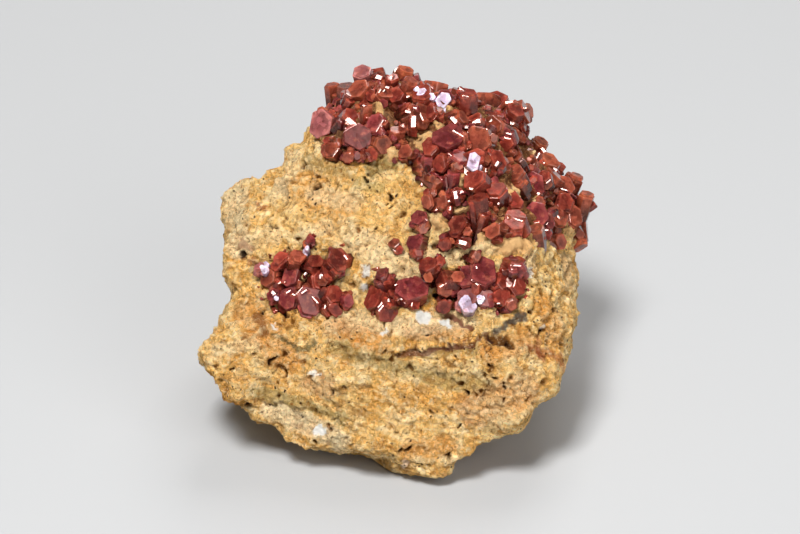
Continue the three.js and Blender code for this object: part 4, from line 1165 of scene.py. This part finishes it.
    def add_bar(self, x0, y0, x1, y1, width, trees):
        """A tablet on edge, one side of which mirrors the key light."""
        middle, along, size = glint_line(x0, y0, x1, y1, trees)
        radius = 0.87 * size
        axis = TO_GLINT.cross(along)
        top = middle - TO_GLINT * radius + axis * (0.5 * width)
        kind = self.random.choice(COMMON_KINDS)
        self.add(top, axis, TO_GLINT, radius, width, kind, even=True, bevel=0.04)

    def add_line(self, x0, y0, x1, y1, trees):
        """A crystal, one bevelled edge of which mirrors the key light."""
        middle, along, size = glint_line(x0, y0, x1, y1, trees)
        radius = 0.87 * size
        down = TO_GLINT.cross(along)
        if down.dot(UP) > 0:
            down = -down
        axis = (TO_GLINT + down).normalized()
        side = (TO_GLINT - down).normalized()
        kind = self.random.choice(COMMON_KINDS)
        self.add(middle - side * radius, axis, side, radius, 2.0, kind, even=True, bevel=0.13)

    def finish(self, node, material):
        bmesh.ops.recalc_face_normals(self.bm, faces=self.bm.faces)
        bmesh.ops.triangulate(self.bm, faces=self.bm.faces)
        obj = object_from(self.name, self.bm)
        obj.data.materials.append(material)
        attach(obj, "root")
        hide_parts(node)


def glint_line(x0, y0, x1, y1, trees):
    """The middle, direction and length of a line of light on a face."""
    middle = sight((x0 + x1) / 2, (y0 + y1) / 2, trees)[0] + TO_EYE * GLINT_LIFT
    drawn = RIGHT * (x1 - x0) + UP * (y1 - y0)
    along = drawn - TO_EYE * (drawn.dot(TO_GLINT) / TO_EYE.dot(TO_GLINT))
    return middle, along.normalized(), drawn.length


def ray_from_eye(right, up):
    return EYE, picture_point(right, up) - EYE


def ray_from_above(across, back):
    return Vector((across, back, ABOVE_ROCK)), Vector((0, 0, -1))


def ray_from_right(back, height):
    return Vector((BESIDE_ROCK, back, height)), Vector((-1, 0, 0))


def fill_druse(crystals):
    """The druse's crystals out of sight, and small ones at random all over it."""
    rng = crystals.random
    for table, ray in ((RIDGE_CRYSTALS, ray_from_above), (FLANK_CRYSTALS, ray_from_right)):
        for a, b, radius in table:
            crystals.grow_unseen(*ray(a, b), radius)
    for area, count, ray in (
        (DRUSE_AREA, DRUSE_COUNT, ray_from_eye), (RIDGE_AREA, UNSEEN_COUNT, ray_from_above),
        (FLANK_AREA, UNSEEN_COUNT, ray_from_right),
    ):
        low = np.min(area, axis=0)
        high = np.max(area, axis=0)
        for _ in range(count):
            a, b = [rng.uniform(*ends) for ends in zip(low, high)]
            if not inside_outline(np.array([[a, b]]), area)[0]:
                continue
            if area is DRUSE_AREA and in_window(a, b):
                continue
            hit, normal, _, _ = crystals.rock_tree.ray_cast(*ray(a, b))
            if hit is not None:
                crystals.add_small(hit, normal, rng.uniform(0.35, 0.85), 0.95)


def grow_crystals(material):
    bare = solid_mesh("matrix")
    rock_tree = BVHTree.FromBMesh(bare)
    bare.free()
    rows = {
        "upper_crystal_druse": DRUSE_CRYSTALS,
        "lower_left_crystal_cluster": LOWER_LEFT_CRYSTALS,
        "lower_middle_crystal_cluster": LOWER_MIDDLE_CRYSTALS,
        "lower_right_crystal_cluster": LOWER_RIGHT_CRYSTALS,
        **LONE_CRYSTALS,
    }
    pieces = {}
    for seed, node in enumerate(rows):
        pieces[node] = Crystals("grown_" + node, rock_tree, seed)
        for row in rows[node]:
            pieces[node].grow_seen(*row)
        if node.startswith("lower"):
            pieces[node].strew(rows[node], 2 * len(rows[node]))
    fill_druse(pieces["upper_crystal_druse"])
    trees = [rock_tree] + [BVHTree.FromBMesh(piece.bm) for piece in pieces.values()]

    def owner(right, up):
        """The piece whose listed crystals lie nearest to a place."""
        def away(node):
            return min(math.hypot(right - row[0], up - row[1]) for row in rows[node])
        return pieces[min(rows, key=away)]

    for table, add in (
        (SPOTS, Crystals.add_spot), (FROSTED_SHEEN, Crystals.add_frosted_sheen),
        (BARS, Crystals.add_bar), (LINES, Crystals.add_line),
    ):
        for row in table:
            add(owner(*row[:2]), *row, trees)
    for node, piece in pieces.items():
        piece.finish(node, material)


def build():
    noise.seed_set(NOISE_SEED)
    make_studio()
    make_rock(rock_material())
    grow_crystals(crystal_material())


build()
